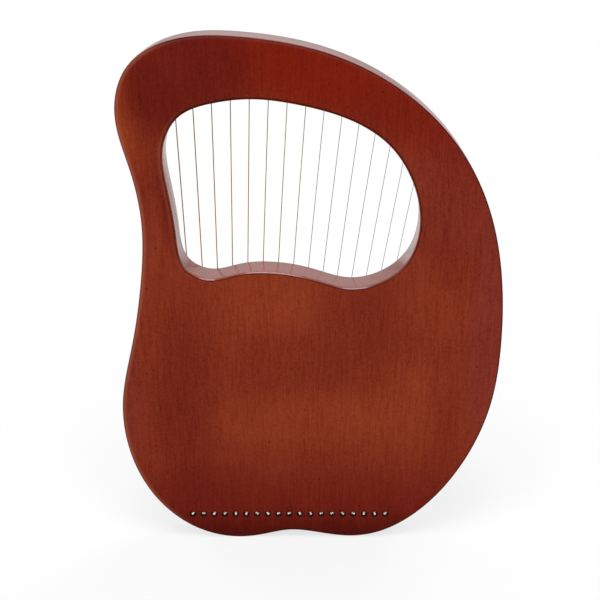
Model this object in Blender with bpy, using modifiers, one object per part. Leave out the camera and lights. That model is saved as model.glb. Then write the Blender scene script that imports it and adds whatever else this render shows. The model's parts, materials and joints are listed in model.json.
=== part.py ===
"""Lyre harp: a hollow wooden body with a hand opening, nineteen strings and nineteen tuning pins.

The harp stands on its two bottom lobes. +Z is up, +X is to the right when the plain back is seen,
and +Y points out of the front, where the strings and the tuning pins are. The outline and the
opening are smooth curves through a few points, and every other piece takes its place from them.
Depth is counted from the back face towards the front.
"""

import math

import bmesh
import bpy
import numpy as np
from mathutils import Matrix, Vector

MM = 0.001

# Points of the body's outline, as (x, z) in millimetres, clockwise from the notch between the lobes.
OUTLINE_POINTS = [
    (-22, 8), (-48, 3), (-75, 0), (-116, 10), (-158, 46), (-182, 99), (-186, 156), (-174, 213),
    (-161, 285), (-158, 335), (-166, 388), (-177, 443), (-163, 484), (-119, 508), (-61, 510),
    (9, 498), (76, 468), (129, 422), (165, 362), (183, 292), (187, 219), (179, 147), (152, 81),
    (107, 27), (68, 5), (42, 1), (8, 5),
]
# Points of the hand opening, clockwise from its right side.
OPENING_POINTS = [
    (105, 333), (94, 299), (68, 278), (38, 272), (3, 281), (-35, 288), (-69, 286), (-96, 281),
    (-118, 291), (-127, 325), (-133, 370), (-135, 411), (-119, 439), (-89, 451), (-52, 455),
    (-10, 450), (38, 436), (74, 413), (97, 378),
]
# Points of the line that the tuning pins stand on, from the bass end to the treble end.
PIN_LINE_POINTS = [
    (-163, 452), (-129, 474), (-79, 482), (-23, 478), (31, 462), (77, 435), (113, 397), (135, 349),
    (139, 321),
]

# Body
BODY_DEPTH = 40 * MM
BACK_THICKNESS = 3.5 * MM
SOUNDBOARD_THICKNESS = 3.5 * MM
RIB_THICKNESS = 3 * MM
ARRIS_RADIUS = 1.5 * MM
SEAT_GAP = 0.3 * MM
LINING_WIDTH = 6 * MM
LINING_HEIGHT = 8 * MM
BRACE_WIDTH = 10 * MM
BRACE_HEIGHT = 8 * MM
LOWER_BRACE_Z = 105 * MM
BACK_BRACE_Z = 165 * MM
UPPER_BRACE_Z = 227 * MM
SOUND_HOLE_RADIUS = 30 * MM
SOUND_HOLE_CENTRE = (-8 * MM, 165 * MM)
ROSETTE_WIDTH = 7 * MM
ROSETTE_HEIGHT = 1.2 * MM

# Blocks
POST_SPLIT_Z = 415 * MM
BLOCK_SPLIT_Z = 322 * MM
POST_FOOT_Z = 268 * MM
POST_RIGHT_X = -117 * MM
TAIL_BLOCK_TOP = 50 * MM
TAIL_BLOCK_MARGIN = 14 * MM

# Strings, counted from the bass end
STRING_COUNT = 19
STRING_LIFT = 11 * MM
HOLE_PITCH = 11 * MM
HOLE_ROW_CENTRE = -22 * MM
HOLE_ROW_Z = 27.3 * MM
BALL_HOLE_RADIUS = 2.5 * MM
BALL_RADIUS = 1.9 * MM
BALL_LENGTH = 3 * MM
WIRE_HOLE_RADIUS = 1.1 * MM
BASS_COUNT = 9
BASS_THICKEST = 1.0 * MM
BASS_THINNEST = 0.62 * MM
TREBLE_THICKEST = 0.48 * MM
TREBLE_THINNEST = 0.33 * MM

# Bridge and saddle
SADDLE_OFFSET = 15.7 * MM
SADDLE_PITCH = 11.1 * MM
SADDLE_SHIFT = -2.85 * MM
SADDLE_WIDTH = 3 * MM
BRIDGE_WIDTH = 12 * MM
BRIDGE_TOP_WIDTH = 6 * MM
BRIDGE_HEIGHT = 6.5 * MM
BRIDGE_SLOT_DEPTH = 3 * MM
BRIDGE_END = 9 * MM

# Tuning pins and nut
PIN_PITCH = 18.7 * MM
FIRST_PIN_ALONG = 18.2 * MM
PIN_RADIUS = 2.5 * MM
PIN_PROUD = 18 * MM
PIN_BURIED = 24 * MM
PIN_HEAD = 8 * MM
PIN_CHAMFER = 0.5 * MM
PIN_CLEARANCE = 0.35 * MM
BOARD_CLEARANCE = 0.6 * MM
HEAD_TURN = 37
NUT_OFFSET = 14 * MM
NUT_WIDTH = 8 * MM
NUT_HEIGHT = 8 * MM
NUT_ROD_RADIUS = 1.5 * MM
NUT_END = 7 * MM
NUT_TREBLE_END = 55 * MM
COIL_TURNS = 2.5
COIL_GAP = 0.45 * MM
COIL_DROP = 3.6 * MM

# How finely curves are divided
FINE_STEPS = 40
OUTLINE_CHORD = 36 * MM
OUTLINE_TURN = math.radians(11)
OPENING_TURN = math.radians(13)
COIL_POINTS = 10
BORE_SIDES = 8
WIRE_HOLE_SIDES = 6
PIN_SIDES = 12
HOLE_SIDES = 32
CUT_MARGIN = 2 * MM
WELD = 0.00001

BACK_Y = -(BODY_DEPTH + PIN_PROUD) / 2
INSIDE_BACK = BACK_THICKNESS + SEAT_GAP
INSIDE_FRONT = BODY_DEPTH - SOUNDBOARD_THICKNESS - SEAT_GAP
BLOCK_INSET = RIB_THICKNESS + SEAT_GAP
LINING_INSET = BLOCK_INSET + LINING_WIDTH
STRING_DEPTH = BODY_DEPTH + STRING_LIFT


def smooth(points, closed):
    """Fine points on the cubic spline through the given points, which is spaced by their distances."""
    knots = np.array(points, float)
    if closed:
        knots = np.vstack([knots, knots[:1]])
    step = np.linalg.norm(np.diff(knots, axis=0), axis=1)
    slope = np.diff(knots, axis=0) / step[:, None]
    spans = len(step)
    size = spans if closed else spans + 1
    matrix = np.zeros((size, size))
    right = np.zeros((size, 2))
    for k in range(size):
        if not closed and k in (0, spans):
            matrix[k, k] = 1
            continue
        before = step[k - 1]
        after = step[k % spans]
        matrix[k, (k - 1) % size] += before
        matrix[k, k] += 2 * (before + after)
        matrix[k, (k + 1) % size] += after
        right[k] = 6 * (slope[k % spans] - slope[k - 1])
    bend = np.linalg.solve(matrix, right)
    if closed:
        bend = np.vstack([bend, bend[:1]])
    span = np.repeat(np.arange(spans), FINE_STEPS)
    part = np.tile(np.arange(FINE_STEPS) / FINE_STEPS, spans)
    if not closed:
        span = np.append(span, spans - 1)
        part = np.append(part, 1.0)
    length = step[span][:, None]
    ahead = (1 - part)[:, None] * length
    behind = part[:, None] * length
    curved = (bend[span] * ahead**3 + bend[span + 1] * behind**3) / (6 * length)
    start = (knots[span] / length - bend[span] * length / 6) * ahead
    end = (knots[span + 1] / length - bend[span + 1] * length / 6) * behind
    return curved + start + end


def loop_with_normals(points, turn, inward):
    """Points along a closed loop, closer together where it bends, and the normal at each of them."""
    fine = smooth(points, closed=True)
    tangent = np.roll(fine, -1, axis=0) - np.roll(fine, 1, axis=0)
    tangent /= np.linalg.norm(tangent, axis=1)[:, None]
    # The loops run clockwise, so the right-hand side of the direction of travel is inside.
    normal = np.column_stack([tangent[:, 1], -tangent[:, 0]]) * (1 if inward else -1)
    edge = np.linalg.norm(np.roll(fine, -1, axis=0) - fine, axis=1)
    following = np.roll(tangent, -1, axis=0)
    bend = np.abs(tangent[:, 0] * following[:, 1] - tangent[:, 1] * following[:, 0])
    weight = np.concatenate([[0], np.cumsum(edge / OUTLINE_CHORD + bend / turn)])
    places = np.linspace(0, weight[-1], int(round(weight[-1])), endpoint=False)
    index = np.arange(len(fine) + 1)
    at = np.interp(places, weight, index)
    around = [np.append(column, column[0]) for column in (*fine.T, *normal.T)]
    values = [np.interp(at, index, column) for column in around]
    unit = np.column_stack(values[2:])
    unit /= np.linalg.norm(unit, axis=1)[:, None]
    return np.column_stack(values[:2]), unit


def centred(points):
    """The outline's points in metres, moved so that its middle is at x = 0 and its lowest point at 0."""
    fine = smooth(np.array(points) * MM, closed=True)
    middle = (fine[:, 0].min() + fine[:, 0].max()) / 2
    return np.array([middle, fine[:, 1].min()])


SHIFT = centred(OUTLINE_POINTS)
OUTLINE, OUTLINE_INWARD = loop_with_normals(np.array(OUTLINE_POINTS) * MM - SHIFT, OUTLINE_TURN, True)
OPENING, OPENING_OUTWARD = loop_with_normals(np.array(OPENING_POINTS) * MM - SHIFT, OPENING_TURN, False)


def outline_at(inset):
    return OUTLINE + OUTLINE_INWARD * inset


def opening_at(outset):
    return OPENING + OPENING_OUTWARD * outset


def along_line(points):
    """A function that gives the point at a length along a line, carried straight on past its end."""
    length = np.concatenate([[0], np.cumsum(np.linalg.norm(np.diff(points, axis=0), axis=1))])
    tail = (points[-1] - points[-2]) / (length[-1] - length[-2])

    def at(distance):
        inside = min(distance, length[-1])
        place = np.array([np.interp(inside, length, points[:, 0]), np.interp(inside, length, points[:, 1])])
        return place + tail * max(0, distance - length[-1])

    return at


PIN_LINE = smooth(np.array(PIN_LINE_POINTS) * MM - SHIFT, closed=False)
PIN_LINE_AT = along_line(PIN_LINE)


def nut_point(distance):
    """The nut's centre line: the pin line moved towards the strings' speaking length."""
    ahead = PIN_LINE_AT(distance + MM) - PIN_LINE_AT(distance - MM)
    ahead /= np.linalg.norm(ahead)
    return PIN_LINE_AT(distance) + np.array([ahead[1], -ahead[0]]) * NUT_OFFSET


def hole_x(number):
    return HOLE_ROW_CENTRE + (number - (STRING_COUNT + 1) / 2) * HOLE_PITCH


def saddle_point(number):
    x = HOLE_ROW_CENTRE + SADDLE_SHIFT + (number - (STRING_COUNT + 1) / 2) * SADDLE_PITCH
    return np.array([x, HOLE_ROW_Z + SADDLE_OFFSET])


def pin_point(number):
    return PIN_LINE_AT(FIRST_PIN_ALONG + (number - 1) * PIN_PITCH)


def wire_radius(number):
    if number <= BASS_COUNT:
        share = (number - 1) / max(1, BASS_COUNT - 1)
        return (BASS_THICKEST + (BASS_THINNEST - BASS_THICKEST) * share) / 2
    share = (number - BASS_COUNT - 1) / max(1, STRING_COUNT - BASS_COUNT - 1)
    return (TREBLE_THICKEST + (TREBLE_THINNEST - TREBLE_THICKEST) * share) / 2


STRINGS = range(1, STRING_COUNT + 1)
REST_DEPTH = STRING_DEPTH - BASS_THICKEST / 2 - SEAT_GAP


def clear_scene():
    for obj in list(bpy.data.objects):
        bpy.data.objects.remove(obj, do_unlink=True)


def new_collection(name):
    collection = bpy.data.collections.new(name)
    bpy.context.scene.collection.children.link(collection)
    return collection


def new_material(name, colour, roughness, metallic=0.0):
    material = bpy.data.materials.new(name)
    material.use_nodes = True
    shader = material.node_tree.nodes["Principled BSDF"]
    shader.inputs["Base Color"].default_value = (*colour, 1)
    shader.inputs["Roughness"].default_value = roughness
    shader.inputs["Metallic"].default_value = metallic
    material.diffuse_color = (*colour, 1)
    return material


clear_scene()
HARP = new_collection("lyre_harp")
CUTTERS = new_collection("cutters")
MATERIALS = {
    "mahogany": new_material("mahogany", (0.205, 0.027, 0.012), 0.42),
    "inner_wood": new_material("inner_wood", (0.56, 0.37, 0.2), 0.7),
    "rosewood": new_material("rosewood", (0.045, 0.018, 0.012), 0.5),
    "bone": new_material("bone", (0.78, 0.72, 0.58), 0.45),
    "brass": new_material("brass", (0.75, 0.55, 0.22), 0.3, 1.0),
    "nickel": new_material("nickel", (0.66, 0.64, 0.6), 0.25, 1.0),
    "bronze_wire": new_material("bronze_wire", (0.55, 0.38, 0.25), 0.35, 1.0),
    "steel_wire": new_material("steel_wire", (0.6, 0.6, 0.6), 0.25, 1.0),
}

# Local x and y of a flat piece are the harp's x and z, and its thickness lies along the depth.
UPRIGHT = Matrix.Rotation(math.radians(90), 4, "X")
# Local x and y of a piece that runs along x are the harp's z and y.
LENGTHWISE = Matrix(((0, 0, -1, 0), (0, 1, 0, 0), (1, 0, 0, 0), (0, 0, 0, 1)))
# Local z of a turned or bored piece points out of the front.
FORWARD = Matrix.Rotation(math.radians(-90), 4, "X")


def at_depth(x, depth, z):
    return Vector((x, BACK_Y + depth, z))


def finish(obj, name, material):
    obj.name = name
    obj.data.materials.clear()
    obj.data.materials.append(MATERIALS[material])
    for collection in obj.users_collection:
        if collection != HARP:
            collection.objects.unlink(obj)
    if obj.name not in HARP.objects:
        HARP.objects.link(obj)
    return obj


def flat_curve(name, loops, thickness, arris=0.0):
    """A 2D curve filled between its loops, with rounded edges where an arris is given."""
    curve = bpy.data.curves.new(name, "CURVE")
    curve.dimensions = "2D"
    curve.fill_mode = "BOTH"
    curve.extrude = thickness / 2 - arris
    curve.bevel_depth = arris
    curve.bevel_resolution = 1
    curve.offset = -arris
    for loop in loops:
        spline = curve.splines.new("POLY")
        spline.points.add(len(loop) - 1)
        for point, place in zip(spline.points, loop):
            point.co = (place[0], place[1], 0, 1)
        spline.use_cyclic_u = True
    return bpy.data.objects.new(name, curve)


def meshed(obj):
    """The curve object as a mesh object with welded caps, in the same place."""
    HARP.objects.link(obj)
    bpy.context.view_layer.update()
    evaluated = obj.evaluated_get(bpy.context.evaluated_depsgraph_get())
    mesh = bpy.data.meshes.new_from_object(evaluated)
    weld(mesh)
    solid = bpy.data.objects.new(obj.name + "_solid", mesh)
    solid.matrix_world = obj.matrix_world.copy()
    HARP.objects.link(solid)
    bpy.data.objects.remove(obj)
    return solid


def weld(mesh):
    work = bmesh.new()
    work.from_mesh(mesh)
    bmesh.ops.remove_doubles(work, verts=work.verts, dist=WELD)
    bmesh.ops.recalc_face_normals(work, faces=work.faces)
    work.to_mesh(mesh)
    work.free()


def trim(obj, place, direction):
    """Cuts off what lies beyond a plane, on the side that the direction points to, and closes the cut."""
    back = obj.matrix_world.inverted()
    work = bmesh.new()
    work.from_mesh(obj.data)
    everything = list(work.verts) + list(work.edges) + list(work.faces)
    bmesh.ops.bisect_plane(
        work,
        geom=everything,
        plane_co=back @ Vector(place),
        plane_no=back.to_3x3() @ Vector(direction),
        clear_outer=True,
    )
    rim = [edge for edge in work.edges if edge.is_boundary]
    bmesh.ops.triangle_fill(work, use_beauty=True, edges=rim)
    bmesh.ops.remove_doubles(work, verts=work.verts, dist=WELD)
    bmesh.ops.recalc_face_normals(work, faces=work.faces)
    work.to_mesh(obj.data)
    work.free()


def flat_piece(name, loops, low, high, material):
    """A flat piece between two depths, with square edges."""
    obj = flat_curve(name, loops, high - low)
    obj.matrix_world = Matrix.Translation(at_depth(0, (low + high) / 2, 0)) @ UPRIGHT
    return finish(meshed(obj), name, material)


def plate(name, loops, thickness, at_back, material):
    """A flat piece whose outer face has rounded edges: half of one that is rounded on both faces."""
    middle = thickness if at_back else BODY_DEPTH - thickness
    obj = flat_curve(name, loops, 2 * thickness, ARRIS_RADIUS)
    obj.matrix_world = Matrix.Translation(at_depth(0, middle, 0)) @ UPRIGHT
    solid = meshed(obj)
    trim(solid, at_depth(0, middle, 0), (0, 1 if at_back else -1, 0))
    return finish(solid, name, material)


def bores(name, centres, radius, low, high, sides=BORE_SIDES):
    """One cutter with a round bore at each centre, between two depths."""
    mesh = bpy.data.meshes.new(name)
    work = bmesh.new()
    for x, z in centres:
        place = Matrix.Translation(at_depth(x, (low + high) / 2, z)) @ FORWARD
        bmesh.ops.create_cone(
            work, cap_ends=True, segments=sides, radius1=radius, radius2=radius, depth=high - low, matrix=place
        )
    work.to_mesh(mesh)
    work.free()
    cutter = bpy.data.objects.new(name, mesh)
    cutter.hide_render = True
    cutter.display_type = "WIRE"
    CUTTERS.objects.link(cutter)
    return cutter


def cut(obj, cutter):
    modifier = obj.modifiers.new(cutter.name, "BOOLEAN")
    modifier.operation = "DIFFERENCE"
    modifier.object = cutter


def circle(centre, radius, sides):
    angles = np.arange(sides) * 2 * math.pi / sides
    return np.column_stack([centre[0] + radius * np.cos(angles), centre[1] + radius * np.sin(angles)])


HOLES = [(hole_x(number), HOLE_ROW_Z) for number in STRINGS]
PINS = [tuple(pin_point(number)) for number in STRINGS]
WIRE_HOLES = bores(
    "wire_hole_cutter", HOLES, WIRE_HOLE_RADIUS, BACK_THICKNESS - CUT_MARGIN, BODY_DEPTH + CUT_MARGIN, WIRE_HOLE_SIDES
)


def make_back_plate():
    back = plate("back_plate", [OUTLINE, OPENING], BACK_THICKNESS, True, "mahogany")
    cut(back, bores("ball_hole_cutter", HOLES, BALL_HOLE_RADIUS, -CUT_MARGIN, BACK_THICKNESS + CUT_MARGIN))


def make_soundboard():
    hole = circle(SOUND_HOLE_CENTRE, SOUND_HOLE_RADIUS, HOLE_SIDES)
    board = plate("soundboard", [OUTLINE, OPENING], SOUNDBOARD_THICKNESS, False, "mahogany")
    low = BODY_DEPTH - SOUNDBOARD_THICKNESS - CUT_MARGIN
    high = BODY_DEPTH + CUT_MARGIN
    cut(board, WIRE_HOLES)
    cut(board, bores("pin_clearance_cutter", PINS, PIN_RADIUS + BOARD_CLEARANCE, low, high))
    cut(board, bores("sound_hole_cutter", [SOUND_HOLE_CENTRE], SOUND_HOLE_RADIUS, low, high, HOLE_SIDES))
    ring = [hole, circle(SOUND_HOLE_CENTRE, SOUND_HOLE_RADIUS + ROSETTE_WIDTH, HOLE_SIDES)]
    foot = BODY_DEPTH + SEAT_GAP
    flat_piece("rosette", ring, foot, foot + ROSETTE_HEIGHT, "rosewood")


def strip(path, normal, thickness):
    """A bent strip along a closed path: its two ends butt together at the path's first point."""
    first = path[0] + (path[1] - path[0]) * (SEAT_GAP / np.linalg.norm(path[1] - path[0]))
    face = np.vstack([first[None], path[1:], path[:1]])
    side = np.vstack([normal[:1], normal[1:], normal[:1]])
    return np.vstack([face, (face + side * thickness)[::-1]])


def make_ribs():
    outer = strip(OUTLINE, OUTLINE_INWARD, RIB_THICKNESS)
    inner = strip(OPENING, OPENING_OUTWARD, RIB_THICKNESS)
    flat_piece("outer_rib", [outer], INSIDE_BACK, INSIDE_FRONT, "mahogany")
    flat_piece("inner_rib", [inner], INSIDE_BACK, INSIDE_FRONT, "mahogany")


def scarf_height(x):
    """Height of the slanted joint where the pin block meets the post and the linings."""
    left = OUTLINE[:, 0].min()
    right = OUTLINE[:, 0].max()
    return POST_SPLIT_Z + (BLOCK_SPLIT_Z - POST_SPLIT_Z) * (x - left) / (right - left)


SCARF_UP = Vector((scarf_height(0) - scarf_height(1), 0, 1)).normalized()
SCARF_PLACE = Vector((0, 0, scarf_height(0)))


def make_blocks():
    ring = [outline_at(BLOCK_INSET), opening_at(BLOCK_INSET)]
    block = flat_piece("pin_block", ring, INSIDE_BACK, INSIDE_FRONT, "inner_wood")
    trim(block, SCARF_PLACE, -SCARF_UP)
    bottom = BODY_DEPTH - PIN_BURIED - SEAT_GAP
    cut(block, bores("pin_bore_cutter", PINS, PIN_RADIUS + PIN_CLEARANCE, bottom, BODY_DEPTH, PIN_SIDES))

    post = flat_piece("left_post", ring, INSIDE_BACK, INSIDE_FRONT, "inner_wood")
    trim(post, SCARF_PLACE - SCARF_UP * SEAT_GAP, SCARF_UP)
    trim(post, (POST_RIGHT_X, 0, 0), (1, 0, 0))
    trim(post, (0, 0, POST_FOOT_Z), (0, 0, -1))

    tail = flat_piece("tail_block", [outline_at(BLOCK_INSET)], INSIDE_BACK, INSIDE_FRONT, "inner_wood")
    trim(tail, (0, 0, TAIL_BLOCK_TOP), (0, 0, 1))
    trim(tail, (hole_x(1) - TAIL_BLOCK_MARGIN, 0, 0), (-1, 0, 0))
    trim(tail, (hole_x(STRING_COUNT) + TAIL_BLOCK_MARGIN, 0, 0), (1, 0, 0))
    cut(tail, WIRE_HOLES)


def make_linings():
    """Strips that widen the glue joint between the ribs and the two plates, from block to block."""
    outer = [outline_at(BLOCK_INSET), outline_at(LINING_INSET)]
    inner = [opening_at(BLOCK_INSET), opening_at(LINING_INSET)]
    below_block = SCARF_PLACE - SCARF_UP * SEAT_GAP
    levels = {
        "back": (INSIDE_BACK, INSIDE_BACK + LINING_HEIGHT),
        "front": (INSIDE_FRONT - LINING_HEIGHT, INSIDE_FRONT),
    }
    for side, (low, high) in levels.items():
        left = flat_piece("lining_" + side + "_left", outer, low, high, "inner_wood")
        trim(left, (hole_x(1) - TAIL_BLOCK_MARGIN - SEAT_GAP, 0, 0), (1, 0, 0))
        trim(left, (0, 0, POST_FOOT_Z - SEAT_GAP), (0, 0, 1))
        right = flat_piece("lining_" + side + "_right", outer, low, high, "inner_wood")
        trim(right, (hole_x(STRING_COUNT) + TAIL_BLOCK_MARGIN + SEAT_GAP, 0, 0), (-1, 0, 0))
        trim(right, below_block, SCARF_UP)
        opening = flat_piece("lining_" + side + "_opening", inner, low, high, "inner_wood")
        trim(opening, (POST_RIGHT_X + SEAT_GAP, 0, 0), (-1, 0, 0))
        trim(opening, below_block, SCARF_UP)


def reach_at(height):
    """The least and greatest x inside the linings at a height, a seat's gap clear of them."""
    loop = outline_at(LINING_INSET + SEAT_GAP)
    following = np.roll(loop, -1, axis=0)
    crossing = (loop[:, 1] - height) * (following[:, 1] - height) < 0
    start = loop[crossing]
    end = following[crossing]
    share = (height - start[:, 1]) / (end[:, 1] - start[:, 1])
    x = start[:, 0] + (end[:, 0] - start[:, 0]) * share
    return x.min(), x.max()


def make_brace(name, height, low, high):
    below = reach_at(height - BRACE_WIDTH / 2)
    above = reach_at(height + BRACE_WIDTH / 2)
    left = max(below[0], above[0])
    right = min(below[1], above[1])
    middle = at_depth((left + right) / 2, (low + high) / 2, height)
    bpy.ops.mesh.primitive_cube_add(size=1, location=middle)
    brace = bpy.context.object
    brace.scale = (right - left, high - low, BRACE_WIDTH)
    bpy.ops.object.transform_apply(location=False, rotation=False, scale=True)
    finish(brace, name, "inner_wood")


def make_braces():
    make_brace("back_brace", BACK_BRACE_Z, INSIDE_BACK, INSIDE_BACK + BRACE_HEIGHT)
    make_brace("lower_brace", LOWER_BRACE_Z, INSIDE_FRONT - BRACE_HEIGHT, INSIDE_FRONT)
    make_brace("upper_brace", UPPER_BRACE_Z, INSIDE_FRONT - BRACE_HEIGHT, INSIDE_FRONT)


def bar(name, profile, ends, material):
    """A straight bar along x, whose profile is given as (height, depth) points."""
    middle = (ends[0] + ends[1]) / 2
    obj = flat_curve(name, [profile], ends[1] - ends[0])
    obj.matrix_world = Matrix.Translation((middle, BACK_Y, 0)) @ LENGTHWISE
    return finish(meshed(obj), name, material)


def make_bridge():
    centre = HOLE_ROW_Z + SADDLE_OFFSET
    foot = BODY_DEPTH + SEAT_GAP
    top = foot + BRIDGE_HEIGHT
    floor = top - BRIDGE_SLOT_DEPTH
    slot = SADDLE_WIDTH / 2 + SEAT_GAP
    half = [(BRIDGE_WIDTH / 2, foot), (BRIDGE_TOP_WIDTH / 2, top), (slot, top), (slot, floor)]
    profile = [(centre + side, depth) for side, depth in half]
    profile += [(centre - side, depth) for side, depth in reversed(half)]
    ends = (saddle_point(1)[0] - BRIDGE_END, saddle_point(STRING_COUNT)[0] + BRIDGE_END)
    bar("bridge", profile, ends, "rosewood")

    side = SADDLE_WIDTH / 2
    base = floor + SEAT_GAP
    crest = [(0, REST_DEPTH), (side, REST_DEPTH - side / 2), (side, base), (-side, base), (-side, REST_DEPTH - side)]
    inset = BRIDGE_END / 3
    bar("saddle", [(centre + z, depth) for z, depth in crest], (ends[0] + inset, ends[1] - inset), "bone")


def nut_curve(name, start, stop, depth):
    """A curve along the nut's centre line at one depth, with a point for each pin's step."""
    curve = bpy.data.curves.new(name, "CURVE")
    curve.dimensions = "3D"
    spline = curve.splines.new("POLY")
    places = np.linspace(start, stop, STRING_COUNT + 4)
    spline.points.add(len(places) - 1)
    for point, distance in zip(spline.points, places):
        x, z = nut_point(distance)
        point.co = (x, z, 0, 1)
    curve.use_fill_caps = True
    obj = bpy.data.objects.new(name, curve)
    obj.matrix_world = Matrix.Translation(at_depth(0, depth, 0)) @ UPRIGHT
    return obj


def nut_profile():
    """Half of the nut's section, from the foot to the groove that the rod lies in: (side, height)."""
    side = NUT_WIDTH / 2
    groove = NUT_ROD_RADIUS + SEAT_GAP
    foot = BODY_DEPTH + SEAT_GAP
    floor = REST_DEPTH - NUT_ROD_RADIUS - groove - foot
    shoulder = (side + groove) / 2
    return [(side, 0), (side, NUT_HEIGHT * 0.75), (shoulder, NUT_HEIGHT), (groove, NUT_HEIGHT), (groove, floor)]


def make_nut():
    start = FIRST_PIN_ALONG - NUT_END
    stop = FIRST_PIN_ALONG + (STRING_COUNT - 1) * PIN_PITCH + NUT_TREBLE_END
    foot = BODY_DEPTH + SEAT_GAP
    half = nut_profile()
    section = bpy.data.curves.new("nut_section", "CURVE")
    section.dimensions = "2D"
    section.fill_mode = "NONE"
    outline = half + [(-side, height) for side, height in reversed(half)]
    spline = section.splines.new("POLY")
    spline.points.add(len(outline) - 1)
    for point, (side, height) in zip(spline.points, outline):
        point.co = (side, -height, 0, 1)
    spline.use_cyclic_u = True
    guide = bpy.data.objects.new("nut_section", section)
    guide.hide_render = True
    CUTTERS.objects.link(guide)
    nut = nut_curve("nut", start, stop, foot)
    nut.data.bevel_mode = "OBJECT"
    nut.data.bevel_object = guide
    solid = meshed(nut)
    finish(solid, "nut", "rosewood")

    rod = nut_curve("nut_rod", start + SEAT_GAP, stop - SEAT_GAP, REST_DEPTH - NUT_ROD_RADIUS)
    rod.data.bevel_depth = NUT_ROD_RADIUS
    rod.data.bevel_resolution = 1
    finish(rod, "nut_rod", "brass")


def make_pin_shape():
    """A pin turned from round rod, with a milled square head. Its lower end is at z = 0."""
    length = PIN_BURIED + PIN_PROUD
    shoulder = length - PIN_HEAD
    profile = [(0, shoulder), (PIN_RADIUS, shoulder), (PIN_RADIUS, PIN_CHAMFER), (PIN_RADIUS - PIN_CHAMFER, 0), (0, 0)]
    mesh = bpy.data.meshes.new("pin_profile")
    points = [(x, 0, z) for x, z in profile]
    mesh.from_pydata(points, [(k, k + 1) for k in range(len(points) - 1)], [])
    shaft = bpy.data.objects.new("pin_shaft", mesh)
    HARP.objects.link(shaft)
    turn = shaft.modifiers.new("turn", "SCREW")
    turn.steps = turn.render_steps = PIN_SIDES
    turn.use_merge_vertices = True
    turn.merge_threshold = WELD

    head_mesh = bpy.data.meshes.new("pin_head")
    work = bmesh.new()
    corner = PIN_RADIUS - PIN_CHAMFER / 5
    sunk = PIN_CHAMFER
    place = Matrix.Translation((0, 0, shoulder + (PIN_HEAD - sunk) / 2))
    bmesh.ops.create_cone(
        work,
        cap_ends=True,
        segments=4,
        radius1=corner,
        radius2=corner - PIN_CHAMFER,
        depth=PIN_HEAD + sunk,
        matrix=place,
    )
    work.to_mesh(head_mesh)
    work.free()
    head = bpy.data.objects.new("pin_head", head_mesh)
    head.hide_render = True
    head.display_type = "WIRE"
    CUTTERS.objects.link(head)
    join = shaft.modifiers.new("head", "BOOLEAN")
    join.operation = "UNION"
    join.object = head
    bpy.context.view_layer.update()
    shape = bpy.data.meshes.new_from_object(shaft.evaluated_get(bpy.context.evaluated_depsgraph_get()))
    shape.name = "tuning_pin"
    bpy.data.objects.remove(shaft)
    bpy.data.objects.remove(head)
    shape.shade_smooth()
    shape.set_sharp_from_angle(angle=math.radians(35))
    return shape


def make_pins():
    shape = make_pin_shape()
    for number in STRINGS:
        x, z = pin_point(number)
        pin = bpy.data.objects.new("tuning_pin_%02d" % number, shape)
        turned = Matrix.Rotation(math.radians(number * HEAD_TURN), 4, "Z")
        pin.matrix_world = Matrix.Translation(at_depth(x, BODY_DEPTH - PIN_BURIED, z)) @ FORWARD @ turned
        finish(pin, pin.name, "nickel")


def string_plan(number):
    """Where a string leaves the saddle, meets its pin's coil and crosses the nut, seen from the front.

    The string is the tangent from the saddle to the circle that its coil follows round the pin. It
    meets that circle on the +X side, so turning the pin from +X towards +Z winds it up.
    """
    saddle = saddle_point(number)
    pin = pin_point(number)
    radius = PIN_RADIUS + SEAT_GAP + wire_radius(number)
    across, up = pin - saddle
    distance = math.hypot(across, up)
    lean = math.atan2(across, up) + math.asin(radius / distance)
    run = math.sqrt(distance**2 - radius**2)
    touch = saddle + run * np.array([math.sin(lean), math.cos(lean)])
    along = FIRST_PIN_ALONG + (number - 1) * PIN_PITCH + np.linspace(-PIN_PITCH, NUT_TREBLE_END, 800)
    line = np.array([nut_point(distance) for distance in along]) - saddle
    aside = line[:, 0] * math.cos(lean) - line[:, 1] * math.sin(lean)
    crest = saddle + line[np.abs(aside).argmin()]
    return saddle, crest, touch, pin, radius, lean


def string_route(number):
    """The string's points as (x, depth, z) with a radius each: ball end, holes, saddle, nut and coil."""
    wire = wire_radius(number)
    saddle, crest, touch, pin, radius, lean = string_plan(number)
    x = hole_x(number)
    support = REST_DEPTH + SEAT_GAP + wire
    ball_end = BACK_THICKNESS
    neck = SEAT_GAP / 2
    route = [
        (x, ball_end - BALL_LENGTH, HOLE_ROW_Z, BALL_RADIUS),
        (x, ball_end - neck, HOLE_ROW_Z, BALL_RADIUS),
        (x, ball_end, HOLE_ROW_Z, wire),
        (x, BODY_DEPTH + wire, HOLE_ROW_Z, wire),
        (saddle[0], support, saddle[1], wire),
        (crest[0], support, crest[1], wire),
    ]
    count = int(round(COIL_TURNS * COIL_POINTS))
    pitch = 2 * wire + COIL_GAP
    turn = -lean + np.arange(count + 1) * 2 * math.pi / COIL_POINTS
    depth = support - COIL_DROP - np.arange(count + 1) * pitch / COIL_POINTS
    for angle, level in zip(turn, depth):
        route.append((pin[0] + radius * math.cos(angle), level, pin[1] + radius * math.sin(angle), wire))
    return route


def least_gap(route):
    """The least distance between a route's points that lie more than half a turn apart, less the wire."""
    coil = np.array(route[-int(round(COIL_TURNS * COIL_POINTS)) - 1 :])
    between = np.linalg.norm(coil[:, None, :3] - coil[None, :, :3], axis=2)
    apart = np.abs(np.subtract.outer(np.arange(len(coil)), np.arange(len(coil)))) > COIL_POINTS / 2
    return between[apart].min() - 2 * coil[0, 3]


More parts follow.
